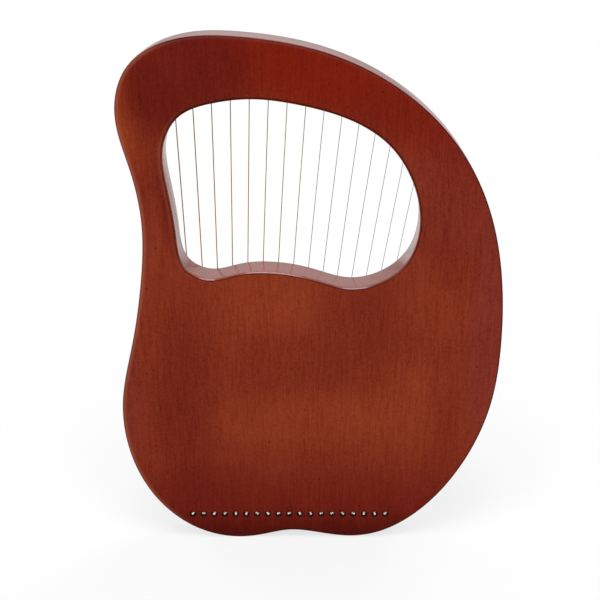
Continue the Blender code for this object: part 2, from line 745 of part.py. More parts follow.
def make_strings():
    gaps = []
    for number in STRINGS:
        route = string_route(number)
        gaps.append(least_gap(route))
        name = "string_%02d" % number
        curve = bpy.data.curves.new(name, "CURVE")
        curve.dimensions = "3D"
        curve.bevel_depth = wire_radius(number)
        curve.bevel_resolution = 1
        curve.use_fill_caps = True
        spline = curve.splines.new("POLY")
        spline.points.add(len(route) - 1)
        for point, (x, depth, z, radius) in zip(spline.points, route):
            point.co = (*at_depth(x, depth, z), 1)
            point.radius = radius / curve.bevel_depth
        spline.use_smooth = True
        obj = bpy.data.objects.new(name, curve)
        finish(obj, name, "bronze_wire" if number <= BASS_COUNT else "steel_wire")
    print("Least gap between the turns of a string's coil: %.2f mm" % (min(gaps) / MM))


make_back_plate()
make_soundboard()
make_ribs()
make_blocks()
make_linings()
make_braces()
make_bridge()
make_nut()
make_pins()
make_strings()
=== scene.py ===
"""The looks of a nineteen-string lyre harp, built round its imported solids.

The harp stands on its two bottom lobes with its plain back towards the camera. +Z is up, +X is to
the right in the picture and +Y points out of the front, where the strings and the tuning pins are.
Depth is counted in metres from the back face towards the front.
"""

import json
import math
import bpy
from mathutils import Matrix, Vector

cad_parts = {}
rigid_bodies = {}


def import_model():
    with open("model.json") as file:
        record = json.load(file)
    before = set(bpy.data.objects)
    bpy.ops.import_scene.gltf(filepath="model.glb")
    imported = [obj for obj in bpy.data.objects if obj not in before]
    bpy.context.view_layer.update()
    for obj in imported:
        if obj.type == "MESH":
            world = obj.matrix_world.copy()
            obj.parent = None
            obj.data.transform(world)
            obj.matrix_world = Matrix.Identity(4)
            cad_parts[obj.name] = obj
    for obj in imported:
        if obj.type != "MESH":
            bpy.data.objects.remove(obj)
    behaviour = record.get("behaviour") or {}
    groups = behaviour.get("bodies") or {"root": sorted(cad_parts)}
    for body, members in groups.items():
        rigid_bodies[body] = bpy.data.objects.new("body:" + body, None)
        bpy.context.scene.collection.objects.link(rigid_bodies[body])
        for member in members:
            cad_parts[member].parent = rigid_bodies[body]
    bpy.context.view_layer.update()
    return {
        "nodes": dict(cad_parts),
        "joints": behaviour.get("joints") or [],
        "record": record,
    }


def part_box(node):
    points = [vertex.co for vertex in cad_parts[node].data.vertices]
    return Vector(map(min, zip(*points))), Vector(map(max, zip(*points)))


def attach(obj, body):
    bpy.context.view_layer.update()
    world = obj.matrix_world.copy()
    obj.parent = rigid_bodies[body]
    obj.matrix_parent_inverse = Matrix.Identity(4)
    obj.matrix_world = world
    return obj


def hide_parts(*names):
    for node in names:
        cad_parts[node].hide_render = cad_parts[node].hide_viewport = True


bl_info = {
    "name": "Lyre harp",
    "version": (1, 0, 0),
    "blender": (4, 5, 0),
    "location": "3D View > Sidebar > Lyre harp",
    "description": "Builds the boards, ribs, strings, tuning pins and fittings of a lyre harp",
    "category": "Add Mesh",
}

import bmesh
import bpy
import numpy as np
from bpy.props import FloatProperty, FloatVectorProperty, IntProperty, PointerProperty
from mathutils import Matrix, Vector
from mathutils.geometry import delaunay_2d_cdt

for leftover in list(bpy.data.objects):
    bpy.data.objects.remove(leftover)
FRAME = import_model()

MM = 0.001

# Points of the body's outline, as (x, z) in millimetres, clockwise from the notch between the lobes.
OUTLINE_POINTS = [
    (-22, 8), (-48, 3), (-75, 0), (-116, 10), (-158, 46), (-182, 99), (-186, 156), (-174, 213),
    (-161, 285), (-158, 335), (-166, 388), (-177, 443), (-163, 484), (-119, 508), (-61, 510),
    (9, 498), (76, 468), (129, 422), (165, 362), (183, 292), (187, 219), (179, 147), (152, 81),
    (107, 27), (68, 5), (42, 1), (8, 5),
]
# Points of the hand opening, clockwise from its right side.
OPENING_POINTS = [
    (105, 333), (94, 299), (68, 278), (38, 272), (3, 281), (-35, 288), (-69, 286), (-96, 281),
    (-118, 291), (-127, 325), (-133, 370), (-135, 411), (-119, 439), (-89, 451), (-52, 455),
    (-10, 450), (38, 436), (74, 413), (97, 378),
]
# Points of the line that the tuning pins stand on, from the bass end to the treble end.
PIN_LINE_POINTS = [
    (-163, 452), (-129, 474), (-79, 482), (-23, 478), (31, 462), (77, 435), (113, 397), (135, 349),
    (139, 321),
]

BACK_LOW, BACK_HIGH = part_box("back_plate")
FRONT_LOW, FRONT_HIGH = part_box("soundboard")
BACK_Y = BACK_LOW.y
BODY_DEPTH = FRONT_HIGH.y - BACK_Y
BOARD = BACK_HIGH.y - BACK_Y
RIB = 3 * MM
ROLL_SLOPE = math.radians(11)
SOUND_HOLE_CENTRE = (-8 * MM, 165 * MM)
SOUND_HOLE_RADIUS = 30 * MM

STRING_COUNT = 19
NUMBERS = range(1, STRING_COUNT + 1)
BASS_COUNT = 9
BASS_WIRES = (1.06 * MM, 0.7 * MM)
TREBLE_WIRES = (0.57 * MM, 0.42 * MM)
HOLE_PITCH = 11 * MM
HOLE_ROW_CENTRE = -22 * MM
HOLE_ROW_Z = 27.3 * MM
COIL_STEPS = 30
BALL_HOLE_RADIUS = 2.5 * MM
WIRE_HOLE_RADIUS = 1.1 * MM
SADDLE_SHIFT = -2.85 * MM
SADDLE_PITCH = 11.1 * MM
PIN_RADIUS = 2.5 * MM
PIN_PITCH = 18.7 * MM
FIRST_PIN_ALONG = 18.2 * MM
PIN_BURIED = 24 * MM
PIN_HEAD = 8 * MM
PIN_HOLE_CLEARANCE = 0.6 * MM
HEAD_TURN = 37
NUT_OFFSET = 14 * MM
NUT_END = 7 * MM
NUT_TREBLE_END = 55 * MM
NUT_ROD_RADIUS = 1.5 * MM
ROD_LIFT = 0.28 * MM
COIL_DROP = 3.6 * MM
CROSS_HOLE_DEPTH = BODY_DEPTH + 4.1 * MM
PIN_PLACES = {joint["child"]: Vector(joint["pos_m"]) for joint in FRAME["joints"]}


def metres(name, description, default):
    """A setting that is a length."""
    return FloatProperty(name=name, description=description, default=default, unit="LENGTH")


def tint(name, description, default):
    """A setting that is a colour, in linear light."""
    return FloatVectorProperty(name=name, description=description, default=default, subtype="COLOR")


class HarpBodySettings(bpy.types.PropertyGroup):
    """Sizes of the boards, the ribs and their edges."""

    outer_edge: metres("Outer edge", "How far a board's outer edge is broken", 0.7 * MM)
    opening_edge_depth: metres(
        "Opening edge depth",
        "How far a board's edge round the opening is broken, down its side", 1.35 * MM,
    )
    opening_edge_width: metres(
        "Opening edge width",
        "How far a board's edge round the opening is broken, over its face", 1.5 * MM,
    )
    roll: metres("Edge roll", "How far in from its edge a board's face is sanded away softly", 3.5 * MM)
    crown: metres("Side crown", "How far the sides bulge between the two faces", 0.3 * MM)
    lean: metres("Opening lean", "How much narrower the opening is at the back, on each side", 1.5 * MM)
    seam: metres("Joint round", "Radius of the edges at a glue joint", 0.14 * MM)
    glue: metres("Glue line", "Width of a glue joint between board and rib", 0.05 * MM)
    lip: metres("Hole edge", "Radius of the edge of a drilled hole", 0.35 * MM)
    spacing: metres("Spacing", "Distance between the points of the outline", 1.7 * MM)


class HarpFittingSettings(bpy.types.PropertyGroup):
    """Sizes of the strings, the pins and the small fittings."""

    ball_radius: metres("Ball radius", "Radius of a string's barrel-shaped ball end", 1.4 * MM)
    ball_length: metres("Ball length", "Length of a string's ball end", 3.9 * MM)
    contact: metres("Contact gap", "Gap between a string and what it rests on", 0.02 * MM)
    winding: metres("Winding pitch", "Distance between the wraps on a bass string", 0.24 * MM)
    thread: metres("Pin thread", "Pitch of a tuning pin's fine thread", 0.9 * MM)
    cross_hole: metres("Cross hole", "Radius of the hole through a tuning pin", 0.75 * MM)
    tail: metres("String tail", "Length of wire that shows past the pin", 2.2 * MM)


class HarpFinishSettings(bpy.types.PropertyGroup):
    """Colours of the harp's finishes."""

    stain_light: tint("Light stain", "Lighter colour of the stained boards", (0.235, 0.035, 0.0117))
    stain_dark: tint("Dark stain", "Darker colour of the stained boards", (0.1485, 0.0128, 0.0045))
    # Lighter patches: partly a lighter stain, partly painted light
    lighter_patch_colour: tint("Rubbed stain", "Stain where it is rubbed thin by hand", (0.28, 0.045, 0.011))
    # Darker patches: partly a darker stain, partly painted shade
    darker_patch_colour: tint("Thick stain", "Stain where it has pooled", (0.115, 0.0085, 0.004))
    # Plum patches: painted sheen of side light beside the edges, and painted shade on the right side
    plum_sheen_colour: tint("Plum stain", "Bluer stain beside the edges", (0.17, 0.023, 0.018))
    stain_arm: tint("Arm stain", "Redder stain of the arm", (0.16, 0.0077, 0.0011))
    # Darker towards the foot: partly a deeper red stain, partly painted shade
    foot_stain_and_shade: tint("Foot stain", "Deep red stain towards the foot", (0.128, 0.0071, 0.003))
    raw_wood: tint("Raw wood", "Bare wood inside the body", (0.52, 0.34, 0.19))
    rosewood: tint("Rosewood", "Wood of the bridge, nut and rosette", (0.062, 0.023, 0.014))
    bone: tint("Bone", "Colour of the saddle", (0.78, 0.72, 0.58))
    brass: tint("Brass", "Colour of the nut's rod", (0.86, 0.66, 0.36))
    # A near-white colour that stands in for the highlights of the shiny ball ends
    ball_highlight_pale: tint("Ball metal", "Pale metal of the ball ends", (1.0, 0.97, 0.9))
    nickel: tint("Nickel", "Colour of the tuning pins", (0.66, 0.64, 0.6))
    bronze: tint("Bronze", "Colour of the wound bass strings", (0.57, 0.27, 0.03))
    steel: tint("Steel", "Colour of the plain treble strings", (0.18, 0.18, 0.185))


class HarpStageSettings(bpy.types.PropertyGroup):
    """The camera and the light."""

    lens: FloatProperty(name="Lens", description="Focal length in millimetres", default=68.46, min=20)
    tilt: FloatProperty(
        name="Camera tilt", description="How far the camera looks down",
        default=math.radians(19.8), subtype="ANGLE",
    )
    lamp: FloatProperty(name="Lamps", description="Strength of the soft lamps", default=1.0, min=0)
    ambient: FloatProperty(
        name="Ambient", description="Strength of the light from all sides", default=0.46, min=0
    )
    lamp_size: metres("Lamp size", "Side of a square soft lamp", 1.2)
    floor_rings: IntProperty(
        name="Floor rings", description="Rings of points in the floor", default=24, min=4
    )


# Lines and outlines


def smooth(points, closed, steps=40):
    """Fine points on the cubic spline through the given points, whose knots are spaced by distance.

    On a span of length h, with bends m0 and m1 at its two ends and the distances a to the end and b
    from the start, the place is (m0*a^3 + m1*b^3)/6h + (p0/h - m0*h/6)*a + (p1/h - m1*h/6)*b. The bends
    make the slope run on from span to span, and an open line has no bend at its ends.
    """
    knots = np.array(points, float)
    if closed:
        knots = np.vstack([knots, knots[:1]])
    step = np.linalg.norm(np.diff(knots, axis=0), axis=1)
    slope = np.diff(knots, axis=0) / step[:, None]
    spans = len(step)
    size = spans if closed else spans + 1
    inner = np.arange(size) if closed else np.arange(1, spans)
    matrix = np.zeros((size, size))
    right = np.zeros((size, 2))
    before = step[inner - 1]
    after = step[inner % spans]
    matrix[inner, (inner - 1) % size] = before
    matrix[inner, inner] = 2 * (before + after)
    matrix[inner, (inner + 1) % size] = after
    right[inner] = 6 * (slope[inner % spans] - slope[inner - 1])
    if not closed:
        matrix[0, 0] = matrix[spans, spans] = 1
    bend = np.linalg.solve(matrix, right)
    if closed:
        bend = np.vstack([bend, bend[:1]])
    span = np.repeat(np.arange(spans), steps)
    part = np.tile(np.arange(steps) / steps, spans)
    if not closed:
        span = np.append(span, spans - 1)
        part = np.append(part, 1.0)
    length = step[span][:, None]
    ahead = (1 - part)[:, None] * length
    behind = part[:, None] * length
    curved = (bend[span] * ahead**3 + bend[span + 1] * behind**3) / (6 * length)
    start = (knots[span] / length - bend[span] * length / 6) * ahead
    end = (knots[span + 1] / length - bend[span + 1] * length / 6) * behind
    return curved + start + end


def lengths(points):
    """Distance along a line to each of its points."""
    return np.concatenate([[0], np.cumsum(np.linalg.norm(np.diff(points, axis=0), axis=1))])


def evenly(points, spacing):
    """A closed line with points at equal distances, and the unit normal on its right-hand side."""
    ring = np.vstack([points, points[:1]])
    far = lengths(ring)
    at = np.linspace(0, far[-1], int(round(far[-1] / spacing)), endpoint=False)
    even = np.column_stack([np.interp(at, far, column) for column in ring.T])
    ahead = np.roll(even, -1, axis=0) - np.roll(even, 1, axis=0)
    normal = np.column_stack([ahead[:, 1], -ahead[:, 0]])
    return even, normal / np.linalg.norm(normal, axis=1)[:, None]


FINE_OUTLINE = smooth(np.array(OUTLINE_POINTS) * MM, True)
SHIFT = np.array([(FINE_OUTLINE[:, 0].min() + FINE_OUTLINE[:, 0].max()) / 2, FINE_OUTLINE[:, 1].min()])
OUTLINE = FINE_OUTLINE - SHIFT
OPENING = smooth(np.array(OPENING_POINTS) * MM, True) - SHIFT
PIN_LINE = smooth(np.array(PIN_LINE_POINTS) * MM, False) - SHIFT


def pin_line_at(distance):
    """The points at these distances along the pin line, which runs straight on past its far end."""
    far = lengths(PIN_LINE)
    tail = (PIN_LINE[-1] - PIN_LINE[-2]) / (far[-1] - far[-2])
    inside = np.minimum(distance, far[-1])
    place = np.column_stack([np.interp(inside, far, column) for column in PIN_LINE.T])
    return place + tail * np.maximum(0, distance - far[-1])[:, None]


def nut_line(distance):
    """The nut's centre line: the pin line moved square to itself, towards the middle of the strings."""
    ahead = pin_line_at(distance + MM) - pin_line_at(distance - MM)
    ahead /= np.linalg.norm(ahead, axis=1)[:, None]
    return pin_line_at(distance) + np.column_stack([ahead[:, 1], -ahead[:, 0]]) * NUT_OFFSET


def in_space(flat, depth):
    """Points in space from (x, z) points and their depth."""
    return np.stack([flat[..., 0], BACK_Y + np.broadcast_to(depth, flat.shape[:-1]), flat[..., 1]], axis=-1)


# Meshes


class Shape:
    """Collects surfaces for one mesh: points with their pattern places, and faces with their finishes."""

    def __init__(self):
        self.points = []
        self.places = []
        self.faces = []
        self.finishes = []
        self.count = 0

    def add(self, points, faces, place, finishes):
        """Adds points with faces that count from the first of them, and a finish for each face."""
        points = np.asarray(points, float).reshape(-1, 3)
        self.points.append(points)
        self.places.append(np.zeros((len(points), 2)) if place is None else np.reshape(place, (-1, 2)))
        self.cover([[index + self.count for index in face] for face in faces], finishes)
        self.count += len(points)

    def cover(self, faces, finishes):
        """Adds faces over points that are there already, and a finish for each face."""
        self.faces += faces
        self.finishes += finishes

    def grid(self, rings, around=True, along=False, caps=False, place=None, finish=0):
        """A surface over a grid of points, rings by points in a ring, closed around or along where asked.

        Each face's corners are a point, the next one in its ring, and the two beside them in the next
        ring. The caps are the first ring and the last one as faces.
        """
        rows, columns = rings.shape[:2]
        index = np.arange(rows * columns).reshape(rows, columns)
        if around:
            index = np.column_stack([index, index[:, 0]])
        if along:
            index = np.vstack([index, index[:1]])
        corners = [index[:-1, :-1], index[:-1, 1:], index[1:, 1:], index[1:, :-1]]
        faces = np.stack(corners, axis=-1).reshape(-1, 4).tolist()
        finishes = np.repeat(np.broadcast_to(finish, len(index) - 1), index.shape[1] - 1).tolist()
        if caps:
            faces += [list(range(columns))[::-1], list(range((rows - 1) * columns, rows * columns))]
            finishes += [finishes[0], finishes[-1]]
        self.add(rings, faces, place, finishes)

    def mesh(self, name, finishes, outward=True, sharp=math.radians(40)):
        """The mesh of all the surfaces, smooth up to the sharp angle, its faces pointing outwards."""
        mesh = bpy.data.meshes.new(name)
        points = np.vstack(self.points)
        mesh.from_pydata(points.tolist(), [], self.faces)
        for finish in finishes:
            mesh.materials.append(finish)
        mesh.polygons.foreach_set("material_index", self.finishes)
        corner = np.zeros(len(mesh.loops), np.int32)
        mesh.loops.foreach_get("vertex_index", corner)
        layer = mesh.uv_layers.new(name="along")
        layer.uv.foreach_set("vector", np.vstack(self.places)[corner].astype(np.float32).ravel())
        if outward:
            turn_outward(mesh)
        mesh.shade_smooth()
        mesh.set_sharp_from_angle(angle=sharp)
        return mesh


def turn_outward(mesh):
    """Makes the faces of closed surfaces point outwards."""
    work = bmesh.new()
    work.from_mesh(mesh)
    bmesh.ops.recalc_face_normals(work, faces=work.faces)
    work.to_mesh(mesh)
    work.free()


def fill(loops):
    """Triangles over a flat face: the first loop is its edge and the others are holes.

    A triangle whose corners all lie on one hole's loop is inside that hole where it turns the same
    way round as the loop does.
    """
    points = np.vstack(loops) / MM
    sizes = [len(loop) for loop in loops]
    starts = np.cumsum([0] + sizes[:-1])
    edges = []
    for start, size in zip(starts, sizes):
        index = start + np.arange(size)
        edges += np.column_stack([index, np.roll(index, -1)]).tolist()
    found = delaunay_2d_cdt([Vector(point) for point in points], edges, [], 2, 1e-6)
    origin = np.array([ids[0] for ids in found[3]])
    faces = np.sort(origin[np.array(found[2])], axis=1)
    loop_of = np.repeat(np.arange(len(loops)), sizes)[faces]
    area = signed_area(points[faces])
    turning = np.array([signed_area(np.array(loop)) for loop in loops])
    in_hole = (loop_of.min(axis=1) == loop_of.max(axis=1)) & (loop_of[:, 0] > 0)
    in_hole &= np.sign(area) == np.sign(turning[loop_of[:, 0]])
    return faces[~in_hole].tolist()


def signed_area(loop):
    """Twice the area inside a closed loop, above zero where it runs anticlockwise."""
    following = np.roll(loop, -1, axis=-2)
    return (loop[..., 0] * following[..., 1] - following[..., 0] * loop[..., 1]).sum(axis=-1)


def linked(name, data):
    """A new object in the scene for a mesh, a lamp or a camera."""
    obj = bpy.data.objects.new(name, data)
    bpy.context.scene.collection.objects.link(obj)
    return obj


def piece(name, mesh, body, slot, *replaced):
    """Puts a finished mesh in the scene, on its body and in place of the solids that it stands for."""
    obj = linked(name, mesh)
    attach(obj, body)
    if replaced:
        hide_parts(*replaced)
    return obj


def solid(name, rings, finish, place=None, **closed):
    """The mesh of one surface over a grid of points, in one finish, closed in the ways that are given."""
    shape = Shape()
    shape.grid(rings, place=place, **closed)
    return shape.mesh(name, [finish])


def spokes(count):
    """Unit vectors at equal angles all the way round: (cos a, sin a)."""
    angle = np.arange(count) * 2 * math.pi / count
    return np.column_stack([np.cos(angle), np.sin(angle)])


def circle(centre, radius, count):
    """Points of a circle and the direction away from its centre at each of them."""
    away = spokes(count)
    return np.array(centre) + away * radius, away


def each(direction, path):
    """The same direction at every point of a path."""
    return np.tile(np.array(direction, float), (len(path), 1))


# Shader nodes


class Value:
    """A number in a shader, as a node's socket, with the arithmetic that adds Math nodes."""

    def __init__(self, finish, socket):
        self.finish = finish
        self.socket = socket

    def math(self, operation, *others):
        """A Math node on this number and the others, in that order."""
        return self.finish.math(operation, self, *others)

    def __add__(self, other):
        return self.math("ADD", other)

    def __sub__(self, other):
        return self.math("SUBTRACT", other)

    def __rsub__(self, other):
        return self.finish.math("SUBTRACT", other, self)

    def __mul__(self, other):
        return self.math("MULTIPLY", other)

    def __truediv__(self, other):
        return self.math("DIVIDE", other)

    def __rtruediv__(self, other):
        return self.finish.math("DIVIDE", other, self)

    def __pow__(self, other):
        return self.math("POWER", other)

    __radd__ = __add__
    __rmul__ = __mul__

    def clamp(self):
        """The number held between 0 and 1."""
        return self.math("MAXIMUM", 0.0).math("MINIMUM", 1.0)

    def away(self, middle):
        """How far the number is from this one, on either side."""
        return (self - middle).math("ABSOLUTE")

    def step(self, low, high):
        """A soft step: 0 below the low value, 1 above the high one."""
        values = {"Value": self, "From Min": low, "From Max": high}
        return self.finish.node("ShaderNodeMapRange", {"interpolation_type": "SMOOTHSTEP"}, values)


class Finish:
    """A material under construction, with one method that adds any node."""

    def __init__(self, name, world=None):
        self.data = world or bpy.data.materials.new(name)
        self.data.use_nodes = True
        self.tree = self.data.node_tree
        self.tree.nodes.clear()

    def node(self, kind, settings=None, values=None, out=0):
        """Adds a node: its settings first, then the values or links of its sockets. Returns one output."""
        node = self.tree.nodes.new(kind)
        for key, setting in (settings or {}).items():
            setattr(node, key, setting)
        for key, value in (values or {}).items():
            if isinstance(value, Value):
                self.tree.links.new(value.socket, node.inputs[key])
            else:
                node.inputs[key].default_value = value
        return Value(self, node.outputs[out]) if node.outputs else None

    def math(self, operation, *numbers):
        """A Math node on these numbers."""
        return self.node("ShaderNodeMath", {"operation": operation}, dict(enumerate(numbers)))

    def place(self, source="Object"):
        """The place on the surface: the object's coordinates, or the piece's own pattern map."""
        return self.node("ShaderNodeTexCoord", out=source)

    def scaled(self, vector, scale, offset=(0, 0, 0)):
        """The place times a scale on each axis, and moved."""
        return self.node("ShaderNodeMapping", {}, {"Vector": vector, "Scale": scale, "Location": offset})

    def noise(self, vector, scale=1.0, detail=2.0, rough=0.5):
        """Cloudy noise from 0 to 1 round a half."""
        values = {"Vector": vector, "Scale": scale, "Detail": detail, "Roughness": rough}
        return self.node("ShaderNodeTexNoise", {}, values)

    def axes(self, vector):
        """The three numbers of a place, from one node."""
        first = self.node("ShaderNodeSeparateXYZ", {}, {"Vector": vector})
        return [Value(self, socket) for socket in first.socket.node.outputs]

    def join(self, x, y, z):
        """The place with these three numbers."""
        return self.node("ShaderNodeCombineXYZ", {}, {"X": x, "Y": y, "Z": z})

    def grain_place(self):
        """The pattern map with the grain, its z, along the piece, and x across it."""
        along, across, _ = self.axes(self.place("UV"))
        return self.join(across, 0.0, along)

    def mix(self, factor, first, second, blend="MIX"):
        """A mix of two colours, each an RGB triple or a link."""
        settings = {"data_type": "RGBA", "blend_type": blend}
        values = {0: factor, 6: rgba(first), 7: rgba(second)}
        return self.node("ShaderNodeMix", settings, values, 2)

    def light_path(self, *rays):
        """1 for each of these kinds of ray and 0 for the others."""
        outputs = self.node("ShaderNodeLightPath").socket.node.outputs
        return [Value(self, outputs["Is %s Ray" % ray]) for ray in rays]

    def bump(self, height, strength, distance):
        """A bumped normal: the height times the distance in metres, at this strength."""
        values = {"Height": height, "Strength": strength, "Distance": distance}
        return self.node("ShaderNodeBump", {}, values)

    def surface(self, colour, rough, normal, constants, **links):
        """The Principled surface and the output. Constants go on its sockets, and the rest varies."""
        varying = {"Base Color": rgba(colour), "Roughness": rough, "Normal": normal}
        shader = self.node("ShaderNodeBsdfPrincipled", {}, {**varying, **constants, **links})
        self.node("ShaderNodeOutputMaterial", {}, {"Surface": shader})
        return self.data


def rgba(colour):
    """A colour's link as it is, or an opaque colour from its three numbers."""
    return colour if isinstance(colour, Value) else (*colour, 1)


def toned(colour, red, green=None, blue=None):
    """A colour times one factor, or times a factor for each of its three parts."""
    factors = (red, red if green is None else green, red if blue is None else blue)
    return tuple(part * factor for part, factor in zip(colour, factors))


def wood_grain(finish, vector, across, along, seed=0.0):
    """Tone of the wood, from dark to light, with its fine streaks, its finest lines and its dark pores.

    Across and along are the pattern's frequencies per metre, so a streak is across/along times as
    long as it is wide. The vector's z is the direction of the grain. The tone is a half and the sum of
    broad bands, streaks, lines and grit, each a noise less a half, at its own strength.
    """
    warp = finish.noise(finish.scaled(vector, (9, 9, 2.5), (seed, 0, 0)), detail=1.0)
    x, y, z = finish.axes(vector)
    bent = finish.join(x + (warp - 0.5) * 0.012, y, z)
    bands = finish.noise(finish.scaled(bent, (21, 21, 7), (seed, 3, 0)))
    streak = (across, across, along)
    streaks = finish.noise(finish.scaled(bent, streak, (seed, 7, 0)), detail=3.0, rough=0.62)
    hair = across * 3.4
    lines = finish.noise(finish.scaled(bent, (hair, hair, along * 1.6), (seed, 11, 0)))
    grit = finish.noise(vector, 540, detail=1.0)
    pores = finish.noise(finish.scaled(bent, (1350, 1350, 130), (seed, 17, 0)), detail=1.0).step(0.63, 0.74)
    tone = (bands - 0.5) * 0.65 + (streaks - 0.5) * 0.5 + (lines - 0.5) * 1.1 + grit
    return tone.clamp(), streaks, lines, pores


def hole_shade_rings(x, y, z):
    """Painted shade round each ball hole in the back: a dark ring, by the distance from the nearest hole of
    the row.
    """
    from_row = x - hole_x(1) + HOLE_PITCH / 2
    aside = (from_row / HOLE_PITCH).math("FRACT") * HOLE_PITCH - HOLE_PITCH / 2
    up = z - HOLE_ROW_Z
    row = STRING_COUNT * HOLE_PITCH
    in_row = from_row.step(-MM, 0.0) * (1 - from_row.step(row, row + MM))
    on_back = 1 - y.step(BACK_Y + 2 * MM, BACK_Y + 3 * MM)
    return (1 - ((aside * aside + up * up) ** 0.5).step(2.7 * MM, 3.9 * MM)) * in_row * on_back


# Soft patches: centre x and z, half width and half height in metres, strength. The lighter and darker ones
# stand partly for uneven stain and partly for painted light and painted shade; the plum ones are painted
# sheen and shade.
# Lighter patches: partly stain, partly painted light
LIGHTER_PATCHES = [
    (-0.04, 0.262, 0.065, 0.05, 0.3), (-0.01, 0.135, 0.11, 0.045, 0.3), (0.085, 0.15, 0.06, 0.08, 0.3),
    (0.12, 0.245, 0.05, 0.04, 0.2), (-0.195, 0.425, 0.05, 0.09, 1.0),
]
# Darker patches: partly stain, partly painted shade
DARKER_PATCHES = [
    (-0.123, 0.15, 0.045, 0.13, 0.5), (0.055, 0.225, 0.075, 0.08, 0.3), (-0.03, 0.19, 0.07, 0.05, 0.15),
    (-0.125, 0.36, 0.022, 0.08, 0.6), (-0.112, 0.475, 0.08, 0.08, 0.95), (-0.155, 0.4, 0.05, 0.11, 0.25),
    (0.07, 0.44, 0.05, 0.04, 0.4), (0.15, 0.36, 0.07, 0.1, 0.35), (-0.09, 0.045, 0.1, 0.05, 0.4),
    (0.05, 0.05, 0.06, 0.04, 0.3),
]
# Plum patches: painted sheen and painted shade beside the edges and on the right side
PLUM_SHEEN_PATCHES = [
    (0.18, 0.22, 0.035, 0.16, 0.5), (-0.18, 0.16, 0.02, 0.1, 0.35), (0.125, 0.04, 0.05, 0.04, 0.3),
    (0.14, 0.38, 0.08, 0.09, 0.2),
]


def patches(x, z, rows):
    """Sum of soft round patches: each is its strength at its centre and nothing from its rim outwards."""
    total = 0.0
    for x0, z0, width, height, strength in rows:
        across = (x - x0) / width
        up = (z - z0) / height
        total = total + (1 - (across * across + up * up).step(0.0, 1.0)) * strength
    return total


def broad_stain_and_shade(finish, x, z, settings, colour):
    """The broad colour: a redder arm; patches of stain, painted light, painted shade and painted sheen;
    a deeper red foot, partly painted shade; and painted shade along the lower edge.
    """
    arm = (z + x * 0.35).step(0.41, 0.47)
    colour = finish.mix(arm * 0.85, colour, settings.stain_arm)
    # The patches' colours: partly stain, partly painted light, painted shade and painted sheen
    patch_colours = (settings.lighter_patch_colour, settings.darker_patch_colour, settings.plum_sheen_colour)
    for rows, stain in zip((LIGHTER_PATCHES, DARKER_PATCHES, PLUM_SHEEN_PATCHES), patch_colours):
        colour = finish.mix(patches(x, z, rows).clamp(), colour, stain)
    # Darker, deeper red towards the foot: partly stain, partly painted shade
    colour = finish.mix((1 - z.step(0.0, 0.118)) * 0.9, colour, settings.foot_stain_and_shade)
    # Painted shade along the bottom edge: the lowest few centimetres darkened towards near-black red
    return finish.mix((1 - z.step(0.002, 0.036)) * 0.65, colour, (0.05, 0.003, 0.002))


def lacquered(finish, colour, grain, shine):
    """Closes a stained wood: dark pores, a faint bump of the grain and a satin coat with this shine."""
    streaks, lines, pores = grain
    colour = finish.mix(pores * 0.42, colour, (0.045, 0.006, 0.004))
    rough = 0.36 + (streaks - 0.5) * 0.16 + pores * 0.08
    normal = finish.bump(lines * 0.4 + streaks * 0.3 - pores * 0.6, 0.05, 0.0001)
    constants = {"Coat Roughness": 0.16, "Coat IOR": 1.45, "Specular IOR Level": 0.0}
    return finish.surface(colour, rough, normal, constants, **{"Coat Weight": shine})


def mahogany_ribs(settings):
    """Satin lacquer over reddish-brown stained mahogany, with the grain along the rib."""
    finish = Finish("mahogany_ribs")
    tone, *grain = wood_grain(finish, finish.grain_place(), 240, 26)
    colour = finish.mix(tone, settings.stain_dark, settings.stain_light)
    return lacquered(finish, colour, grain, 1 - grain[2] * 0.25)


def mahogany_boards(settings, roll):
    """The same lacquered mahogany on the boards, with the grain upright and broad changes of colour by
    place.

    The broad shading is multiplied by the grain's tone as a share of the stain's middle. A dark line
    lies where the rolled face meets the broken edge. On the bass side the roll is painted paler and its
    dark line weaker: a painted glow of the side light on the rolled edge.
    """
    finish = Finish("mahogany_boards")
    vector = finish.place()
    x, y, z = finish.axes(vector)
    tone, *grain = wood_grain(finish, vector, 240, 26)
    middle = [(dark + light) / 2 for dark, light in zip(settings.stain_dark, settings.stain_light)]
    least = [dark / half for dark, half in zip(settings.stain_dark, middle)]
    most = [light / half for light, half in zip(settings.stain_light, middle)]
    shading = broad_stain_and_shade(finish, x, z, settings, middle)
    colour = finish.mix(1.0, shading, finish.mix(tone, least, most), "MULTIPLY")
    cells = {"Vector": finish.join(x, z, 0.0), "Scale": 17.0}
    speck = finish.node("ShaderNodeTexVoronoi", {"voronoi_dimensions": "2D"}, cells, "Distance")
    colour = finish.mix((1 - speck.step(0.008, 0.019)) * 0.8, colour, (0.03, 0.006, 0.004))
    down = finish.axes(finish.place("UV"))[1]
    line = 1 - down.away(roll).step(0.25 * MM, 0.75 * MM)
    # Painted light: a paler roll and a weaker dark line on the bass side, for the side light's glow on the
    # edge
    lightened = (0 - x).step(0.11, 0.16)
    colour = finish.mix(down.step(-MM, roll) * lightened * 0.55, colour, (0.32, 0.09, 0.05))
    colour = finish.mix(line * (0.85 - lightened * 0.4), colour, (0.02, 0.003, 0.0015))
    # Painted shade: a dark ring round each ball hole, with no coat there to reflect
    rings = hole_shade_rings(x, y, z)
    colour = finish.mix(rings * 0.95, colour, (0.005, 0.002, 0.0015))
    shine = (1 - grain[2] * 0.25) * (1 - line * 0.8) * (1 - rings)
    return lacquered(finish, colour, grain, shine)


